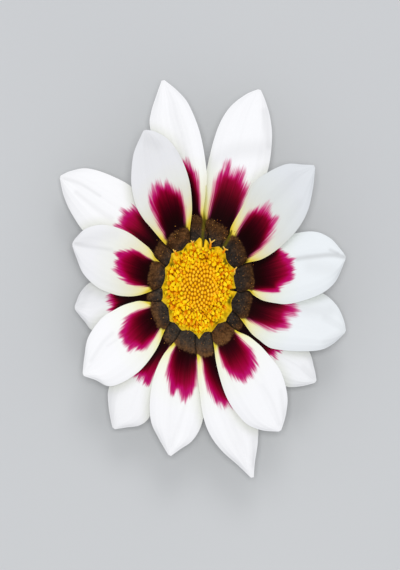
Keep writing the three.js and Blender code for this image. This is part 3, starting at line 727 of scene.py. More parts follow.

# %% [markdown]
# ## Folds and creases
#
# Petals are folded and creased where they were packed in the bud. A short drawn line marks each
# of them, and every point of the blade knows how close it lies to it. The narrow ones are also
# cut into the blade, as a groove catches the light better than paint does.

# %% Folds and creases
# half width, strength of the painted shade, and line of each fold; the narrow ones are also cut into the
# blade
FOLDS = {
    1: [(3.0, 0.16, [(2.6, 24.5), (7, 27), (12.5, 27.5)]), (1.2, 0.18, [(12.9, 35), (13.8, 28)])],
    2: [(2.4, 0.1, [(14.6, 17.4), (17, 19.4), (18.6, 21.6)]), (1.6, 0.1, [(17.6, 13.6), (19.6, 16.6)])],
    3: [(0.8, 0.5, [(19.4, 5.4), (21, 5.7), (23.6, 6), (26.4, 6.2), (28.8, 5.8)]),
        (0.6, 0.3, [(26, 7.2), (27.6, 6.6)]), (2.4, 0.12, [(22, 4), (27, 3)])],
    4: [(1.2, 0.12, [(25, -6.4), (28.6, -8.4)]), (1.2, 0.12, [(25, -11.2), (28.4, -9.4)]),
        (2, 0.14, [(21, -4.8), (26, -5)])],
    5: [(1.2, 0.12, [(20.8, -16.4), (22.6, -18.4)])],
    6: [(0.7, 0.08, [(12.4, -19.8), (14.4, -23.2), (15.8, -27.6)]), (0.9, 0.1, [(16.2, -21), (16.8, -26)])],
    7: [(1.0, 0.06, [(6.4, -27), (9.8, -34.4)]), (1.0, 0.12, [(10.6, -31), (10.7, -36)])],
    8: [(0.8, 0.08, [(-3, -24), (-5.6, -32)])],
    9: [(1.0, 0.1, [(-17.8, -21), (-17.4, -28)])],
    10: [(0.7, 0.14, [(-21.8, -15), (-19.4, -11.4), (-17.4, -9.4)]),
         (0.4, 0.1, [(-18.6, -12), (-16.6, -10.8)])],
    11: [(1.5, 0.16, [(-22.6, -1.4), (-24, -4)])],
    12: [(2.4, 0.16, [(-24.2, 9.2), (-20, 10), (-17, 10.2)]),
         (0.6, 0.24, [(-24.8, 8.4), (-23, 8), (-20.6, 7.6), (-17.6, 7.2)])],
    13: [(0.5, 0.18, [(-27.4, 21.6), (-24, 20.4), (-21, 18.6), (-20, 18)]),
         (0.9, 0.16, [(-24.8, 18.8), (-22, 16.6), (-19.4, 14.6), (-17.6, 13.6)])],
    14: [(2, 0.12, [(-11, 29.4), (-8.6, 28)]), (0.8, 0.08, [(-5, 27), (-3.4, 24.5)])],
}
NARROW_FOLD = 1
GROOVE_DEPTH = 0.2
# olive lines by the pads where one petal slips under the next: partly creases, partly a painted shade
OLIVE_LINES = [
    [(0.4, 7.6), (0.55, 10.6), (0.85, 13), (1, 15.2), (1.25, 17.6), (1.2, 20)],
    [(4.3, 7.2), (4.9, 8.1), (5.5, 9.1), (5.95, 10), (6.3, 11)],
]
CREASES = {0: OLIVE_LINES[:1], 1: OLIVE_LINES, 2: OLIVE_LINES[1:]}
CREASE_HALF_WIDTH = 0.54
CREASE_TAPER = 0.6


def closeness(x, y, line, half_width, taper=0.0):
    """1 on a smooth line drawn through a few points, falling to 0 at half its width away.

    With a taper the line grows thinner towards its last point, by that share of its width.
    """
    shares = np.linspace(0, 1, 60)
    walk = curve_through(line, shares)
    gap = np.hypot(x[..., None] - walk[:, 0], y[..., None] - walk[:, 1])
    gap = (gap / (1 - taper * shares**3)).min(-1)
    return smooth(half_width, 0, gap)


def folded(index, x, y):
    """How strongly the folds are painted in shade, and how deep the narrow ones cut into it."""
    fold_shade, groove = np.zeros_like(x), np.zeros_like(x)
    for half_width, strength, line in FOLDS.get(index, []):
        near = strength * closeness(x, y, line, half_width)
        fold_shade = fold_shade + near
        if half_width < NARROW_FOLD:
            groove = groove + GROOVE_DEPTH * near
    return np.clip(fold_shade, 0, 1), groove


print("folds:", sum(len(folds) for folds in FOLDS.values()), "on", len(FOLDS), "petals")

# %% [markdown]
# ## In under a neighbour
#
# Where a petal slips in under the next one, it lies in soft shade, and its flame looks darker along
# that edge. Lamps give part of that, but the blades are so close together that little light gets
# between them in life. So each point also knows how far in it lies, and the finish paints the rest
# of the shade from that: greenish on the white, darker on the flame and a dark line on the pad.

# %% Depth under the neighbours
IN_THE_OPEN = -9.0


def under_neighbours(index, x, y):
    """How far each point lies in under the edge of a covering neighbour, in mm; negative in the open."""
    depth = np.full_like(x, IN_THE_OPEN)
    for side, lies_over in zip((1, -1), RAYS[index]["over"]):
        if not lies_over:
            other = (index - side) % len(RAYS)
            along = np.linspace(0.02, 1, 50)
            outline = np.vstack([edge_points(other, 1, along), edge_points(other, -1, along)[::-1]])
            depth = np.maximum(depth, inside_by(x, y, outline))
    return depth

# %% [markdown]
# ## Building the fifteen blades
#
# A blade is one closed sheet. Its thickness thins towards the edges and the tip, so that it ends in
# a fine rim, as a petal does. The pad swells it, and fine pleats run along it. Underneath, a broad
# stripe follows the middle of the petal. Every mark that the finish reads is stored on the blade.

# %% Fifteen ray blades
PAD_SWELL = 0.3
PLEATS = 8
PLEAT_HEIGHT = 0.02


def both(values):
    """The same values twice, for the upper and the lower side of a sheet."""
    return np.stack([values, values])


def add_blade(index):
    """One ray blade; hands back its upper grid, the depth inside its pad and the share across it."""
    x, y, height, across, along, radius = blade_grids(index)
    pad, flame, reach, margin = petal_marks(index, x, y, across, radius)
    fold_shade, groove = folded(index, x, y)
    height = height - groove
    thin = BLADE_THICKNESS * (1 - 0.75 * smooth(0.7, 0, margin)) * (1 - 0.5 * smooth(0.9, 1, along))
    pillow = PAD_SWELL * smooth(-0.15, 1.3, pad) * smooth(0, 0.9, margin)
    pleats = PLEAT_HEIGHT * np.sin(2 * np.pi * PLEATS * across)
    pleats = pleats * smooth(0.2, 0.4, along) * smooth(0, 1, margin)
    top = np.stack([x, y, height + thin / 2 + pillow + pleats], -1)
    bottom = np.stack([x, y, height - thin / 2], -1)

    nothing = np.zeros_like(x)
    flare = closeness(x, y, FLARE[index], FLARE_HALF_WIDTH) if index in FLARE else nothing
    crease_shade = nothing
    for line in CREASES.get(index, []):
        crease_shade = np.maximum(crease_shade, closeness(x, y, line, CREASE_HALF_WIDTH, CREASE_TAPER))
    depth = under_neighbours(index, x, y)
    marks = dict(
        pad=pad, flame_depth=flame, reach=reach, fold_shade=fold_shade, crease_shade=crease_shade,
        flare=FLARE_STRENGTH * flare,
        yellow=np.clip(1 + pad / YELLOW_REACH[index] + 0.12 * smooth(1, 0, margin) - 0.04, 0, 1),
        # painted shade that darkens the flame near a covering neighbour's edge
        contact_shade=smooth(-1.6, 0, depth),
        # painted shade on the white in under a neighbour, from 13.5 mm out
        shade=smooth(-2.4, 0.3, depth) * smooth(13.5, 19, radius),
        # painted shade: a dark line on the pad in under a neighbour's edge, and a fainter one along its own
        # edge
        seam=np.maximum(0.85 * smooth(-0.5, -0.1, depth), 0.35 * smooth(0.22, 0, margin)),
        stripe=smooth(0.5, 0.1, np.abs(across - 0.5)) * smooth(1.05, 0.6, along),
    )
    for mark, values in OWN_TONES.items():
        marks[mark] = nothing + values[index]
    marks = {mark: both(values) for mark, values in marks.items()}
    marks["under"] = np.stack([nothing, nothing + 1])
    number = f"{index + 1:02d}"
    add_piece(
        f"ray_blade_{number}", np.stack([top, bottom]), sheet_faces(ROWS, COLUMNS), petal, "rays",
        replaces=[f"ray_floret_{number}"], uv=both(np.stack([across, along], -1)), **marks
    )
    return top, pad, across


petal_tops = [add_blade(index) for index in range(len(RAYS))]

# %% [markdown]
# ## The dome of the disc
#
# Under the tiny florets the disc is a low dome, which overhangs the claws of the rays. Only narrow
# gaps of it show between the florets, but it gives them all their place and their height. It is
# turned: one profile is carried round the axis, then squeezed into the head's oval.

# %% Disc dome
DISC_BOTTOM = 10.3
DISC_UNDER = 12.25
DISC_EDGE = 13.35
DISC_CROWN = 1.5
DISC_RIM = 9.6
DOME_END = 7.45
CORE_RADIUS = 6.4
AXIS_RADIUS = 0.05
DOME_SIDES = 96


def dome(radius):
    """Height of the dome, a parabola from its crown to its rim."""
    return DISC_EDGE + DISC_CROWN * (1 - (radius / DISC_RIM) ** 2)


def around(count):
    """Angles in radians that share out a full turn evenly."""
    return np.linspace(0, 2 * np.pi, count, endpoint=False)


def turned(profile, sides, squeeze=lambda z: OVAL):
    """Rings of points from a profile of radius and height carried round the axis.

    Each ring's width along X is multiplied by the squeeze for its height.
    """
    profile = np.asarray(profile, float)
    a = around(sides)[None, :]
    r, z = profile[:, :1], profile[:, 1:]
    x = r * np.cos(a) * np.asarray(squeeze(z))
    return np.stack([x, r * np.sin(a), np.broadcast_to(z, x.shape)], -1)


def disc_finish():
    """Orange yellow, and browner under the open florets of the outer band."""
    f = Finish("disc_ground", 0.7, Specular_IOR_Level=0.1)
    patches = f.grain(700)
    middle = f.ramp(patches, (0.35, "C88404"), (0.55, "D89406"), (0.75, "E4A008"))
    outer = f.ramp(patches, (0.35, "A86804"), (0.5, "C88604"), (0.7, "E0A406"))
    return f.done(f.blend(f.mark("outer"), middle, outer))


profile = [(AXIS_RADIUS, DISC_BOTTOM), (CORE_RADIUS, DISC_BOTTOM), (CORE_RADIUS, DISC_UNDER)]
profile += [(7, DISC_UNDER), (7.35, 12.75)]
profile += [(r, dome(r)) for r in np.linspace(DOME_END, AXIS_RADIUS, 16)]
points, faces = capped_rings(turned(profile, DOME_SIDES))
outer = smooth(4.2, 5.4, oval_radius(points[:, 0], points[:, 1]))
add_piece("disc_dome", points, faces, disc_finish(), "disc", replaces=["disc_florets"], outer=outer)

# %% [markdown]
# ## The scalloped collar
#
# The outermost disc florets lean out and join into a collar with pointed teeth that lies over the
# pads. Its edge is one function of the angle: it runs through listed points, out to each tooth and
# back in between. The section of the collar is a closed loop, over the top and back underneath,
# so carrying it round the head makes one closed skin, with a ridge out to every tooth.

# %% Collar
COLLAR_EDGE = [
    (7.2, -0.45), (5.9, -0.8), (7.4, -1.1), (6.9, -2), (6.4, -2.7), (6.2, -3.4), (6.3, -4.1), (6.4, -4.9),
    (5.9, -5.6), (5.4, -6.3), (5.2, -7), (4.4, -7.3), (3.6, -7.5), (3.2, -8), (2.7, -8.7), (2.3, -9.2),
    (1.6, -9.1), (0.9, -9.2), (0.5, -9.6), (-0.2, -10.6), (-0.7, -9.8), (-1.5, -9.1), (-2.2, -8.8),
    (-2.8, -8.8), (-3.6, -8.9), (-4.1, -8.4), (-4.5, -7.8), (-5.1, -7.3), (-6, -7.1), (-6.1, -6.2),
    (-6.2, -5.3), (-6.3, -4.4), (-6.7, -3.8), (-7.3, -3.3), (-7.7, -2.9), (-7.45, -2.4), (-7.4, -1.8),
    (-7.45, -0.9), (-7.7, -0.3), (-7.4, 0.3), (-7.1, 1), (-6.9, 2.1), (-7, 3.6), (-6.5, 4), (-6.1, 4.6),
    (-5.8, 5.8), (-5.7, 6.5), (-5.1, 6.7), (-4.2, 6.9), (-3.5, 7.2), (-3, 7.8), (-2.6, 8.4), (-1.7, 8.7),
    (-1.2, 8.6), (-0.7, 9.1), (-0.1, 9.7), (0.3, 9.4), (0.5, 8.6), (0.7, 7.6), (0.8, 8.6), (1.05, 9.4),
    (1.5, 9), (1.9, 8.2), (2.4, 7.7), (3, 7.8), (3.8, 7.9), (4.3, 7.5), (5.1, 6.5), (5.2, 5.5), (5.6, 4.6),
    (6.2, 4), (6.8, 3.5), (7.1, 2.6), (6.7, 2), (6.8, 1), (7, 0),
]
COLLAR_START = 7.25
COLLAR_SIDES = 480
COLLAR_ROWS = 14
COLLAR_THICKNESS = 0.34
TOOTH_SPAN = 20
TOOTH_LENGTH = 0.9


def collar_edge(degrees):
    """Radius of the collar's edge at each angle: straight from one listed point to the next."""
    x, y = np.array(COLLAR_EDGE).T
    places, reach = np.degrees(np.arctan2(y, x / OVAL)) % 360, oval_radius(x, y)
    order = np.argsort(places)
    return np.interp(degrees, places[order], reach[order], period=360)


def collar():
    """Rings of the collar's closed section, over its top and back underneath, and their tints.

    The height rises a little from the inner ring, then falls as a power of the share of the way
    out. Where the edge reaches further than it does on average near by, a ridge runs out to the
    tooth, and fine ripples cross the rest. The tint is painted light: lighter on the teeth and the
    crests of the ripples, a painted olive shade in the hollows between the teeth, and paler towards
    the outer edge.
    """
    a = np.linspace(0, 360, COLLAR_SIDES, endpoint=False)[None, :]
    edge = collar_edge(a)
    nearby = np.concatenate([edge[:, -TOOTH_SPAN:], edge, edge[:, :TOOTH_SPAN]], 1)[0]
    window = 2 * TOOTH_SPAN + 1
    usual = np.convolve(nearby, np.ones(window) / window, "valid")
    tooth = np.clip(0.5 + (edge - usual) / TOOTH_LENGTH, 0, 1)
    out = np.linspace(0, 1, COLLAR_ROWS)[:, None]
    radius = COLLAR_START + (edge - COLLAR_START) * out
    ripple = np.sin(np.radians(a) * 41 + 3 * out) + 0.6 * np.sin(np.radians(a) * 67 - 2 * out)
    height = dome(COLLAR_START) + 0.1 + 0.6 * out - 1.6 * out**2.2 + 0.5 * tooth * out * (1.3 - out)
    height = height + 0.05 * ripple * out
    plan = on_oval(radius, a + 0 * out)
    top = np.concatenate([plan, height[..., None]], -1)
    lower = height - COLLAR_THICKNESS * (1 - 0.6 * out)
    below = np.concatenate([plan, lower[..., None]], -1)
    # painted highlight on the teeth and ripple crests, painted shade in the hollows between teeth
    hollow_shade = (1 - tooth) * np.exp(-(((out - 0.6) / 0.3) ** 2))
    tint = 0.5 + 0.16 * tooth - 0.6 * hollow_shade + 0.12 * ripple * out + 0.34 * smooth(0.86, 1, out)
    return np.concatenate([below, top[::-1]]), np.concatenate([tint, tint[::-1]])


def tinted_finish(name, roughness, specular, *stops, stir=0.0, scale=0.0, detail=3.0):
    """A finish whose colours follow the mark "tint", which noise may stir by a share of its range."""
    f = Finish(name, roughness, Specular_IOR_Level=specular)
    tint = f.mark("tint")
    if stir:
        tint = tint + (f.grain(scale, detail) - 0.5) * stir
    return f.done(f.ramp(tint, *stops))


loops, tint = collar()
collar_finish = tinted_finish(
    "collar", 0.45, 0.05, (0.02, "7C6C08"), (0.25, "BC9A08"), (0.5, "EEBC06"), (0.9, "FFDA34"),
    stir=0.9, scale=380, detail=4
)
faces = ring_faces(len(loops), COLLAR_SIDES, closed=True)
add_piece("disc_collar", loops, faces, collar_finish, "disc", tint=tint)

# %% [markdown]
# ## Hundreds of disc florets
#
# Disc florets open from the rim inwards, so the middle still holds round closed buds and the outer
# band has open florets with five lobes. Both stand in the golden-angle spiral that sunflowers also
# use: each floret is turned 137.5 degrees on from the last, and its distance grows with the square
# root of its number. One small bud and one open floret are made once, as stacks of rings, then
# copied in a single array sum. Each has only a few dozen faces, so hundreds of them stay light.

# %% Placing copies on the dome
GOLDEN_ANGLE = 180 * (3 - math.sqrt(5))


def spiral(spacing, start, end):
    """Distances and angles of a golden-angle spiral between two radii."""
    n = np.arange(1, int((end / spacing) ** 2) + 2)
    radius = spacing * np.sqrt(n - 0.5)
    keep = (radius >= start) & (radius < end)
    return radius[keep], (n * GOLDEN_ANGLE)[keep] % 360


def copies(faces, count, size):
    """The faces of one body repeated for every copy, with the point numbers moved on each time."""
    return [[corner + size * n for corner in face] for n in range(count) for face in faces]


def turn_by(angle, u, v):
    """Two coordinates after a turn from the first towards the second."""
    return u * np.cos(angle) - v * np.sin(angle), u * np.sin(angle) + v * np.cos(angle)


def set_on_dome(template, radius, degrees, lean, spin, size, rise=0.0):
    """Copies of a small body built along +Z: spun and sized, leaned outwards, then set on the dome.

    All copies are worked out together: turns about Z, about Y and about Z again, a shift along the
    dome, and the squeeze into the oval. The template is one body or a body for each copy.
    """
    def column(values):
        return np.broadcast_to(values, radius.shape)[:, None]

    spin, lean, turn = (column(np.radians(values)) for values in (spin, lean, degrees))
    bodies = template.reshape(-1, template.shape[-2], 3)
    x, y, z = (bodies[..., k] * column(size) for k in range(3))
    x, y = turn_by(spin, x, y)
    z, x = turn_by(lean, z, x)
    x, z = x + radius[:, None], z + (dome(radius) + rise)[:, None]
    x, y = turn_by(turn, x, y)
    return np.stack([x * OVAL, y, z], -1)


print("golden angle:", round(GOLDEN_ANGLE, 2), "degrees")

# %% [markdown]
# ## Closed buds
#
# A closed floret is a smooth knob whose five lobes are still folded together. It is under a
# millimetre wide, so five rings of eight points are enough. Towards the edge of their zone the buds
# lean out more and grow a little, and a small random share keeps them from looking stamped.

# %% Closed buds
BUD_ZONE = 4.6
BUD_SPACING = 0.445
BUD_RINGS = [(0.34, -0.3, 0), (0.4, 0.35, 0.03), (0.41, 0.66, 0.03), (0.34, 0.9, 0.03), (0.18, 1.04, 0.02)]


def bulging_ring(points, radius, height, lobes=0.0):
    """A flat ring whose radius swells towards five lobes by a raised cosine."""
    a = around(points)
    r = radius + lobes * (0.5 + 0.5 * np.cos(5 * a))
    return np.stack([r * np.cos(a), r * np.sin(a), np.full(points, float(height))], -1)


bud, bud_faces = capped_rings([bulging_ring(8, *ring) for ring in BUD_RINGS])
radius, degrees = spiral(BUD_SPACING, 0, BUD_ZONE)
count = len(radius)
size = (0.92 + 0.12 * radius / BUD_ZONE) * chance.uniform(0.92, 1.08, count)
placed = set_on_dome(bud, radius, degrees, 3 * radius, chance.uniform(0, 72, count), size)
# the tint follows height: partly the bud's own orange body and yellow top, partly a painted shade towards
# the gaps between buds
tint = np.clip(bud[:, 2] / 1.15, 0, 1)[None, :] + chance.normal(0, 0.06, count)[:, None]
bud_finish = tinted_finish(
    "bud", 0.45, 0.06, (0.3, "D08A02"), (0.58, "EEA604"), (0.78, "FABA08"), (0.96, "FECA28")
)
add_piece("closed_buds", placed, copies(bud_faces, count, len(bud)), bud_finish, "disc", tint=tint)
print("closed buds:", count)

# %% [markdown]
# ## Open florets
#
# An open floret is a slim tube that flares into five blunt lobes, curled outwards. The rings run up
# the outside of the tube, over the tips of the lobes and down into the throat, so the floret is one
# closed body with a real hollow.

# %% Open florets
OPEN_START, OPEN_END = 4.45, 9.4
OPEN_SPACING = 0.72
OPEN_MARGIN = 1.3
EDGE_SPAN = (-6, -3, 0, 3, 6)
NOTCH = 36
SHOULDER = 19
# radius of the notches and of the shoulders, height, and how far the shoulders curl up
FLORET_RINGS = [(0.3, 0.34, 0, 0), (0.42, 0.82, 0.8, 0.1), (0.22, 0.4, 1.02, 0.18), (0.13, 0.13, 0.75, 0)]
# tint of the two shoulders and the notch in each of those rings; the darker notches and base are a painted
# shade between the lobes
FLORET_TINTS = [(0, 0, 0), (0.8, 0.8, 0.2), (0.9, 0.9, 0.35), (0.3, 0.3, 0.3)]


def lobed_ring(notches, shoulders, height, curl):
    """A ring of five blunt lobes: one point in every notch and two on the shoulders of every lobe."""
    turns = np.arange(5)[:, None] * 72
    a = np.radians(turns + [[-SHOULDER, SHOULDER, NOTCH]]).ravel()
    r = np.tile([shoulders, shoulders, notches], 5)
    return np.stack([r * np.cos(a), r * np.sin(a), height + np.tile([curl, curl, 0], 5)], -1)


floret, floret_faces = capped_rings([lobed_ring(*ring) for ring in FLORET_RINGS])
radius, degrees = spiral(OPEN_SPACING, OPEN_START, OPEN_END)
wander = chance.normal(0, 1, (4, len(radius)))
radius = radius + 0.12 * wander[0]
degrees = degrees + wander[1]
nearest_edge = np.min([collar_edge(degrees + turn) for turn in EDGE_SPAN], axis=0)
inside = radius < nearest_edge - OPEN_MARGIN - 0.12 * wander[3]
radius, degrees, wander, nearest_edge = (
    values[..., inside] for values in (radius, degrees, wander, nearest_edge)
)
count = len(radius)
outer = smooth(6, 8.4, radius)
lean = 6 + 16 * outer + 13 * wander[2]
size = (1.06 + 0.36 * smooth(4.6, 6.2, radius)) * chance.uniform(0.85, 1.2, count)
rise = chance.uniform(-0.62, -0.08, count) + 0.15 * outer
uneven = floret * chance.uniform(0.8, 1.2, (count, 1, 3))
uneven = uneven + chance.normal(0, 0.035, (count, len(floret), 3))
placed = set_on_dome(uneven, radius, degrees, lean, chance.uniform(0, 72, count), size, rise)

# the last ring and the last cap are the throat, which is darker in a fifth of the florets
level = np.concatenate([np.tile(tints, 5) for tints in FLORET_TINTS] + [[0, 0.2]])
throat = np.isin(np.arange(len(floret)), [*range(45, 60), 61])
tint = level[None, :] + 0.12 * wander[3][:, None]
tint = tint + chance.normal(0, 0.07, tint.shape) - 0.4 * throat * (chance.random(count) < 0.2)[:, None]
floret_finish = tinted_finish(
    "floret", 0.45, 0.06, (0, "8C5002"), (0.2, "C88004"), (0.4, "ECA204"), (0.62, "FCC408"),
    (0.85, "FFDE18"), stir=0.35, scale=800
)
faces = copies(floret_faces, count, len(floret))
add_piece("open_florets", placed, faces, floret_finish, "disc", tint=tint)
print("open florets:", count)

# %% [markdown]
# ## Anther tubes
#
# In every disc floret the anthers are joined into one small tube, which stands out of the throat and
# sheds the pollen. It is a six-sided stack of four rings, leaned out a little more than its floret.
# About half of the florets show one, but none by the collar's edge, where it would poke past the
# collar.

# %% Anther tubes
ANTHER_MARGIN = 1.75
ANTHER_SHARE = 0.55
ANTHER_RINGS = [(0.2, 0.6), (0.27, 1.1), (0.27, 1.5), (0.14, 1.75)]

anther, anther_faces = capped_rings([bulging_ring(6, *ring) for ring in ANTHER_RINGS])
shown = (chance.random(count) < ANTHER_SHARE) & (radius < nearest_edge - ANTHER_MARGIN)
tilt = lean[shown] + chance.normal(15, 10, shown.sum())
placed = set_on_dome(anther, radius[shown], degrees[shown], tilt, 0, size[shown], rise[shown])
tint = np.clip((anther[:, 2] - 0.8) / 0.9, 0, 1)[None, :] + chance.normal(0, 0.12, shown.sum())[:, None]
anther_finish = tinted_finish("anther", 0.6, 0.06, (0, "C87004"), (0.5, "F09408"), (0.95, "FCB01C"))
faces = copies(anther_faces, shown.sum(), len(anther))
add_piece("anther_tubes", placed, faces, anther_finish, "disc", tint=tint)

# %% [markdown]
# ## Forked stigmas
#
# Some of the oldest florets, at the rim, have pushed out a stigma: a thin orange stem that forks
# into two paler arms. Each is three short tapered rods along given lines, because a smooth
# tube wouldn't look different at this size.

# %% Forked stigmas
# the base, the fork and the two tips of each stigma
STIGMAS = [
    [(2, 7.5, 14.4), (2.15, 8.6, 14.9), (1.9, 9.5, 15.0), (3, 9.2, 15.1)],
    [(4.6, 6.6, 14.2), (5, 7.3, 14.7), (4.6, 7.9, 14.8), (5.6, 7.2, 14.9)],
    [(6.2, 2.8, 14.2), (6.9, 3.3, 14.6), (7.35, 3.75, 14.7), (6.95, 2.6, 14.8)],
    [(-4.6, 6.2, 14.2), (-5, 6.8, 14.6), (-5.4, 7.3, 14.7), (-4.8, 7.1, 14.8)],
    [(-1.4, 8, 14.2), (-1.5, 8.6, 14.6), (-1.8, 9.1, 14.7), (-1.2, 9, 14.8)],
]
# the two ends of each rod among those points, its widths there, and whether it is one of the pale arms
RODS = [(0, 1, 0.24, 0.18, 0), (1, 2, 0.17, 0.1, 1), (1, 3, 0.17, 0.1, 1)]
ROD_SIDES = 6
ROD_RINGS = 4


def rod(start, end, wide, narrow):
    """Rings of a tapered rod between two points: its radius falls from wide to narrow."""
    start, end = np.array(start, float), np.array(end, float)
    along = unit(end - start)
    side = unit(np.cross(along, (0, 0, 1)))
    other = np.cross(side, along)
    a = around(ROD_SIDES)[None, :, None]
    share = np.linspace(0, 1, ROD_RINGS)[:, None, None]
    round_the_axis = np.cos(a) * side - np.sin(a) * other
    return mix(start, end, share) + mix(wide, narrow, share) * round_the_axis


points, tint = [], []
for stigma in STIGMAS:
    for start, end, wide, narrow, pale in RODS:
        made, rod_faces = capped_rings(rod(stigma[start], stigma[end], wide, narrow))
        share = np.concatenate([np.repeat(np.linspace(0, 1, ROD_RINGS), ROD_SIDES), [0, 1]])
        points.append(made)
        tint.append(0.5 * share + 0.5 * pale)
faces = copies(rod_faces, len(points), len(points[0]))
stigma_finish = tinted_finish("stigma", 0.5, 0.08, (0.1, "F08A08"), (0.45, "F4A010"), (0.9, "EECA60"))
add_piece("forked_stigmas", points, faces, stigma_finish, "disc", tint=tint)

# %% [markdown]
# ## Grains of pollen
#
# Loose pollen from the anthers has fallen on the dark pads and the foot of the flames, where its
# grains show as bright specks. It could be painted on, but real grains catch the light from any
# side. A grain is only an eight-sided solid, because at its size nobody could see more.

# %% Pollen grains
POLLEN_SPOTS = {0: 9, 1: 26, 2: 12, 13: 8, 14: 18}
USUAL_SPOTS = 6
octahedron = np.array([(1, 0, 0), (0, 1, 0), (-1, 0, 0), (0, -1, 0), (0, 0, 1), (0, 0, -1)], float)
octahedron_faces = [[0, 1, 4], [1, 2, 4], [2, 3, 4], [3, 0, 4], [1, 0, 5], [2, 1, 5], [3, 2, 5], [0, 3, 5]]
centres = []
for index, (top, pad, across) in enumerate(petal_tops):
    places = top[(pad > -1) & (pad < 3.8) & (np.abs(across - 0.5) < 0.4)]
    picked = chance.integers(0, len(places), POLLEN_SPOTS.get(index, USUAL_SPOTS))
    centres.append(places[picked] + chance.normal(0, 0.05, (len(picked), 3)) * (1, 1, 0))
centres = np.concatenate(centres)
count = len(centres)
size = chance.uniform(0.05, 0.1, count)[:, None, None]
placed = centres[:, None, :] + octahedron * size + (0, 0, 0.03)
tint = np.repeat(chance.random(count), len(octahedron))
pollen_finish = tinted_finish("pollen", 0.7, 0.1, (0.2, "8A4422"), (0.6, "C87A30"), (0.85, "E8B054"))
faces = copies(octahedron_faces, count, len(octahedron))
add_piece("pollen_grains", placed, faces, pollen_finish, "disc", tint=tint)
print("pollen grains:", count)

# %% [markdown]
# ## The cup of bracts
#
# From below, the head is held in a green cup of bracts that have grown together. The cup is a closed
# section carried round the axis, like the collar. It is round at the stalk and takes the head's oval
# higher up. Shallow ribs show the fused bracts.

# %% Bract cup
OUTER_WALL = [(3.1, 2.6), (4.7, 3), (6.5, 4.3), (8, 6.1), (9.1, 8.1), (9.8, 10)]
INNER_WALL = [(8.9, 10), (8.3, 8.7), (7.1, 6.9), (5.5, 5.2), (3.7, 4.1), (3.1, 3.6)]
WALL_RINGS = 26
CUP_SIDES = 192
CUP_RIBS = 16


def to_oval(z):
    """Round below 2.8 mm and the head's full oval above 6.4 mm."""
    return 1 - (1 - OVAL) * smooth(2.8, 6.4, z)


def green_finish(name, dark, light, tip):
    """Streaked satin green that turns to a third colour where the mark "tint" says so."""
    f = Finish(name, 0.52)
    streaks = f.grain(260, detail=4, stretch=(1, 1, 0.25))
    colour = f.blend(f.mark("tint"), f.ramp(streaks, (0.3, dark), (0.7, light)), tip)
    f.bump(f.grain(1500, detail=4), 0.5, 0.1 * MM)
    return f.done(colour)


shares = np.linspace(0, 1, WALL_RINGS)
section = np.concatenate([curve_through(OUTER_WALL, shares), curve_through(INNER_WALL, shares[::2])])
rings = turned(section, CUP_SIDES, to_oval)
ribs = 1 + 0.012 * np.cos(CUP_RIBS * around(CUP_SIDES))[None, :]
ribs = mix(1, ribs, smooth(3.4, 5, section[:, 1])[:, None])
rings[:WALL_RINGS, :, :2] *= ribs[:WALL_RINGS, :, None]
bract_green = green_finish("bract_green", "33481B", "5F7A35", "7A4A34")
faces = ring_faces(len(section), CUP_SIDES, closed=True)
no_tint = np.zeros(rings.shape[:2])
add_piece("bract_cup", rings, faces, bract_green, "bracts", replaces=["involucre"], tint=no_tint)

# %% [markdown]
# ## Free bract points
#
# Only the ends of the bracts are free: three rows of narrow points that stand out under the rays.
# Each is a thin closed sheet, drawn as a middle line and a width, so one function makes a whole row
# at once.

# %% Bract points
BRACT_ROWS = [
    dict(count=16, turn=0, line=[(9, 9.1), (10.9, 9.65), (13.4, 9.75)], width=3),
    dict(count=14, turn=10, line=[(8.1, 7.1), (9.9, 8), (12.2, 8.5)], width=2.2),
    dict(count=11, turn=3, line=[(6.6, 4.9), (8.2, 5.3), (9.9, 6.3)], width=1.8),
]
BRACT_LENGTHWAYS, BRACT_ACROSS = 15, 9


def bract_points(row):
    """The free bract points of one row, each a thin keeled sheet.

    The middle line is a smooth curve in the plane through the axis. The width falls to a point as a
    power of what is left of the length, and the middle is lowered by a parabola across it.
    """
    turn = row["turn"] + np.arange(row["count"]) * 360 / row["count"]
    shares = np.linspace(0, 1, BRACT_LENGTHWAYS)
    line = curve_through(row["line"], shares)
    across = np.linspace(1, -1, BRACT_ACROSS)[None, None, :]
    width = (row["width"] * (1 - shares) ** 0.75 * (0.85 + 0.4 * shares) + 0.12)[None, :, None]
    centre = on_oval(line[None, :, 0], turn[:, None])[:, :, None, :]
    a = np.radians(turn)
    side = unit(np.stack([-OVAL * np.sin(a), np.cos(a)], -1))
    plan = centre + (width * across / 2)[..., None] * side[:, None, None, :]
    keel = 0.16 * width / row["width"] * (across**2 - 0.4)
    z = np.broadcast_to(line[None, :, 1, None] + keel, plan.shape[:3])
    half = 0.2 - 0.1 * np.abs(across)
    top = np.concatenate([plan, (z + half)[..., None]], -1)
    bottom = np.concatenate([plan, (z - half)[..., None]], -1)
    sheets = np.stack([top, bottom], 1)
    return sheets, np.broadcast_to(smooth(0.7, 1, shares)[:, None], sheets.shape[:-1])


rows = [bract_points(row) for row in BRACT_ROWS]
points, tint = (np.concatenate(parts) for parts in zip(*rows))
faces = copies(sheet_faces(BRACT_LENGTHWAYS, BRACT_ACROSS), len(points), 2 * BRACT_LENGTHWAYS * BRACT_ACROSS)
add_piece("bract_points", points, faces, bract_green, "bracts", tint=tint)
print("bract points:", len(points))

# %% [markdown]
# ## The stalk
#
# The stub of stalk widens into the receptacle inside the cup. It has shallow ribs, and the cut end
# that the head stands on is paler. It is turned like the dome.

# %% Stalk
STALK = [(3, 0), (2.86, 0.5), (2.72, 1.2), (2.7, 2), (2.7, 3.2), (3.2, 4.5), (5.1, 5.6), (6.7, 7.2),
         (7.8, 8.8), (8.4, 9.95)]
STALK_SIDES = 120
STALK_RIBS = 14

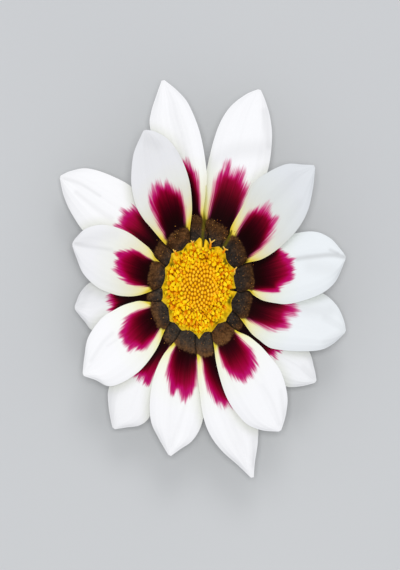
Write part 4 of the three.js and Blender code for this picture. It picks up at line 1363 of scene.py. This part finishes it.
skin = curve_through(STALK, np.linspace(0, 1, 40))
profile = [(AXIS_RADIUS, 0), (1.2, 0), (2.4, 0), *skin, (AXIS_RADIUS, STALK[-1][1])]
rings = turned(profile, STALK_SIDES, to_oval)
heights = rings[:, :1, 2]
grooves = 0.5 + 0.5 * np.cos(STALK_RIBS * around(STALK_SIDES))
grooves = 0.018 * grooves * smooth(0.05, 0.6, heights) * smooth(6, 4, heights)
rings[:, :, :2] *= (1 - grooves)[..., None]
points, faces = capped_rings(rings)
cut = smooth(0.12, 0.02, points[:, 2])
stalk_green = green_finish("stalk_green", "4E6628", "86A057", "C4CE96")
add_piece("stalk_skin", points, faces, stalk_green, "stalk", replaces=["stalk_and_receptacle"], tint=cut)

# %% [markdown]
# ## Floor and lights
#
# The head lies on a plain pale floor, a light grey one so that the white petals stand out. White
# petals need soft light from a broad lamp, or their shape is lost: a large lamp overhead lights the
# face of the flower, a weaker one from beyond its top gives the form, and the pale surroundings
# light the shadows.

# %% Floor and lights
FLOOR_REACH = 3


def floor():
    """A square plane of plain light grey."""
    f = Finish("floor_finish", 0.8)
    mesh = bpy.data.meshes.new("floor")
    corners = [(-1, -1), (1, -1), (1, 1), (-1, 1)]
    mesh.from_pydata([(x * FLOOR_REACH, y * FLOOR_REACH, 0) for x, y in corners], [], [(0, 1, 2, 3)])
    mesh.materials.append(f.done(f.ramp(f.grain(6, detail=2), (0.3, "C4C6C9"), (0.7, "C9CBCD"))))
    new_object("floor", mesh)


def lamp(name, place, size, power, colour):
    """A square area lamp that faces the flower head."""
    data = bpy.data.lights.new(name, "AREA")
    data.size = size
    data.energy = power
    data.color = colour
    made = new_object(name, data)
    made.location = place
    made.rotation_euler = (Vector((0, 0, 0.01)) - Vector(place)).to_track_quat("-Z", "Y").to_euler()


floor()
lamp("overhead", (0, 0.05, 1.7), 0.35, 12.8, (1, 1, 1))
lamp("key", (0.1, 0.85, 0.95), 0.5, 2.8, (1, 0.995, 0.985))
world = bpy.data.worlds.new("studio")
world.use_nodes = True
surroundings = world.node_tree.nodes["Background"]
surroundings.inputs["Color"].default_value = (0.97, 0.98, 1, 1)
surroundings.inputs["Strength"].default_value = 0.5
bpy.context.scene.world = world
bpy.context.scene.view_settings.view_transform = "Standard"

# %% [markdown]
# ## The camera
#
# The camera looks straight down through a long lens from nearly a metre away, so that raised petals
# aren't enlarged. Its distance follows from the height of the view and the lens.

# %% Camera
LENS = 250
SENSOR = 36
VIEW_HEIGHT = 114 * MM
PETAL_LEVEL = 11.5 * MM

data = bpy.data.cameras.new("camera")
data.lens = LENS
data.sensor_width = SENSOR
data.clip_end = 20
camera = new_object("camera", data)
camera.location = (0, 0.2 * MM, PETAL_LEVEL + VIEW_HEIGHT * LENS / SENSOR)
bpy.context.scene.camera = camera
print("camera height:", round(camera.location.z, 3), "m")
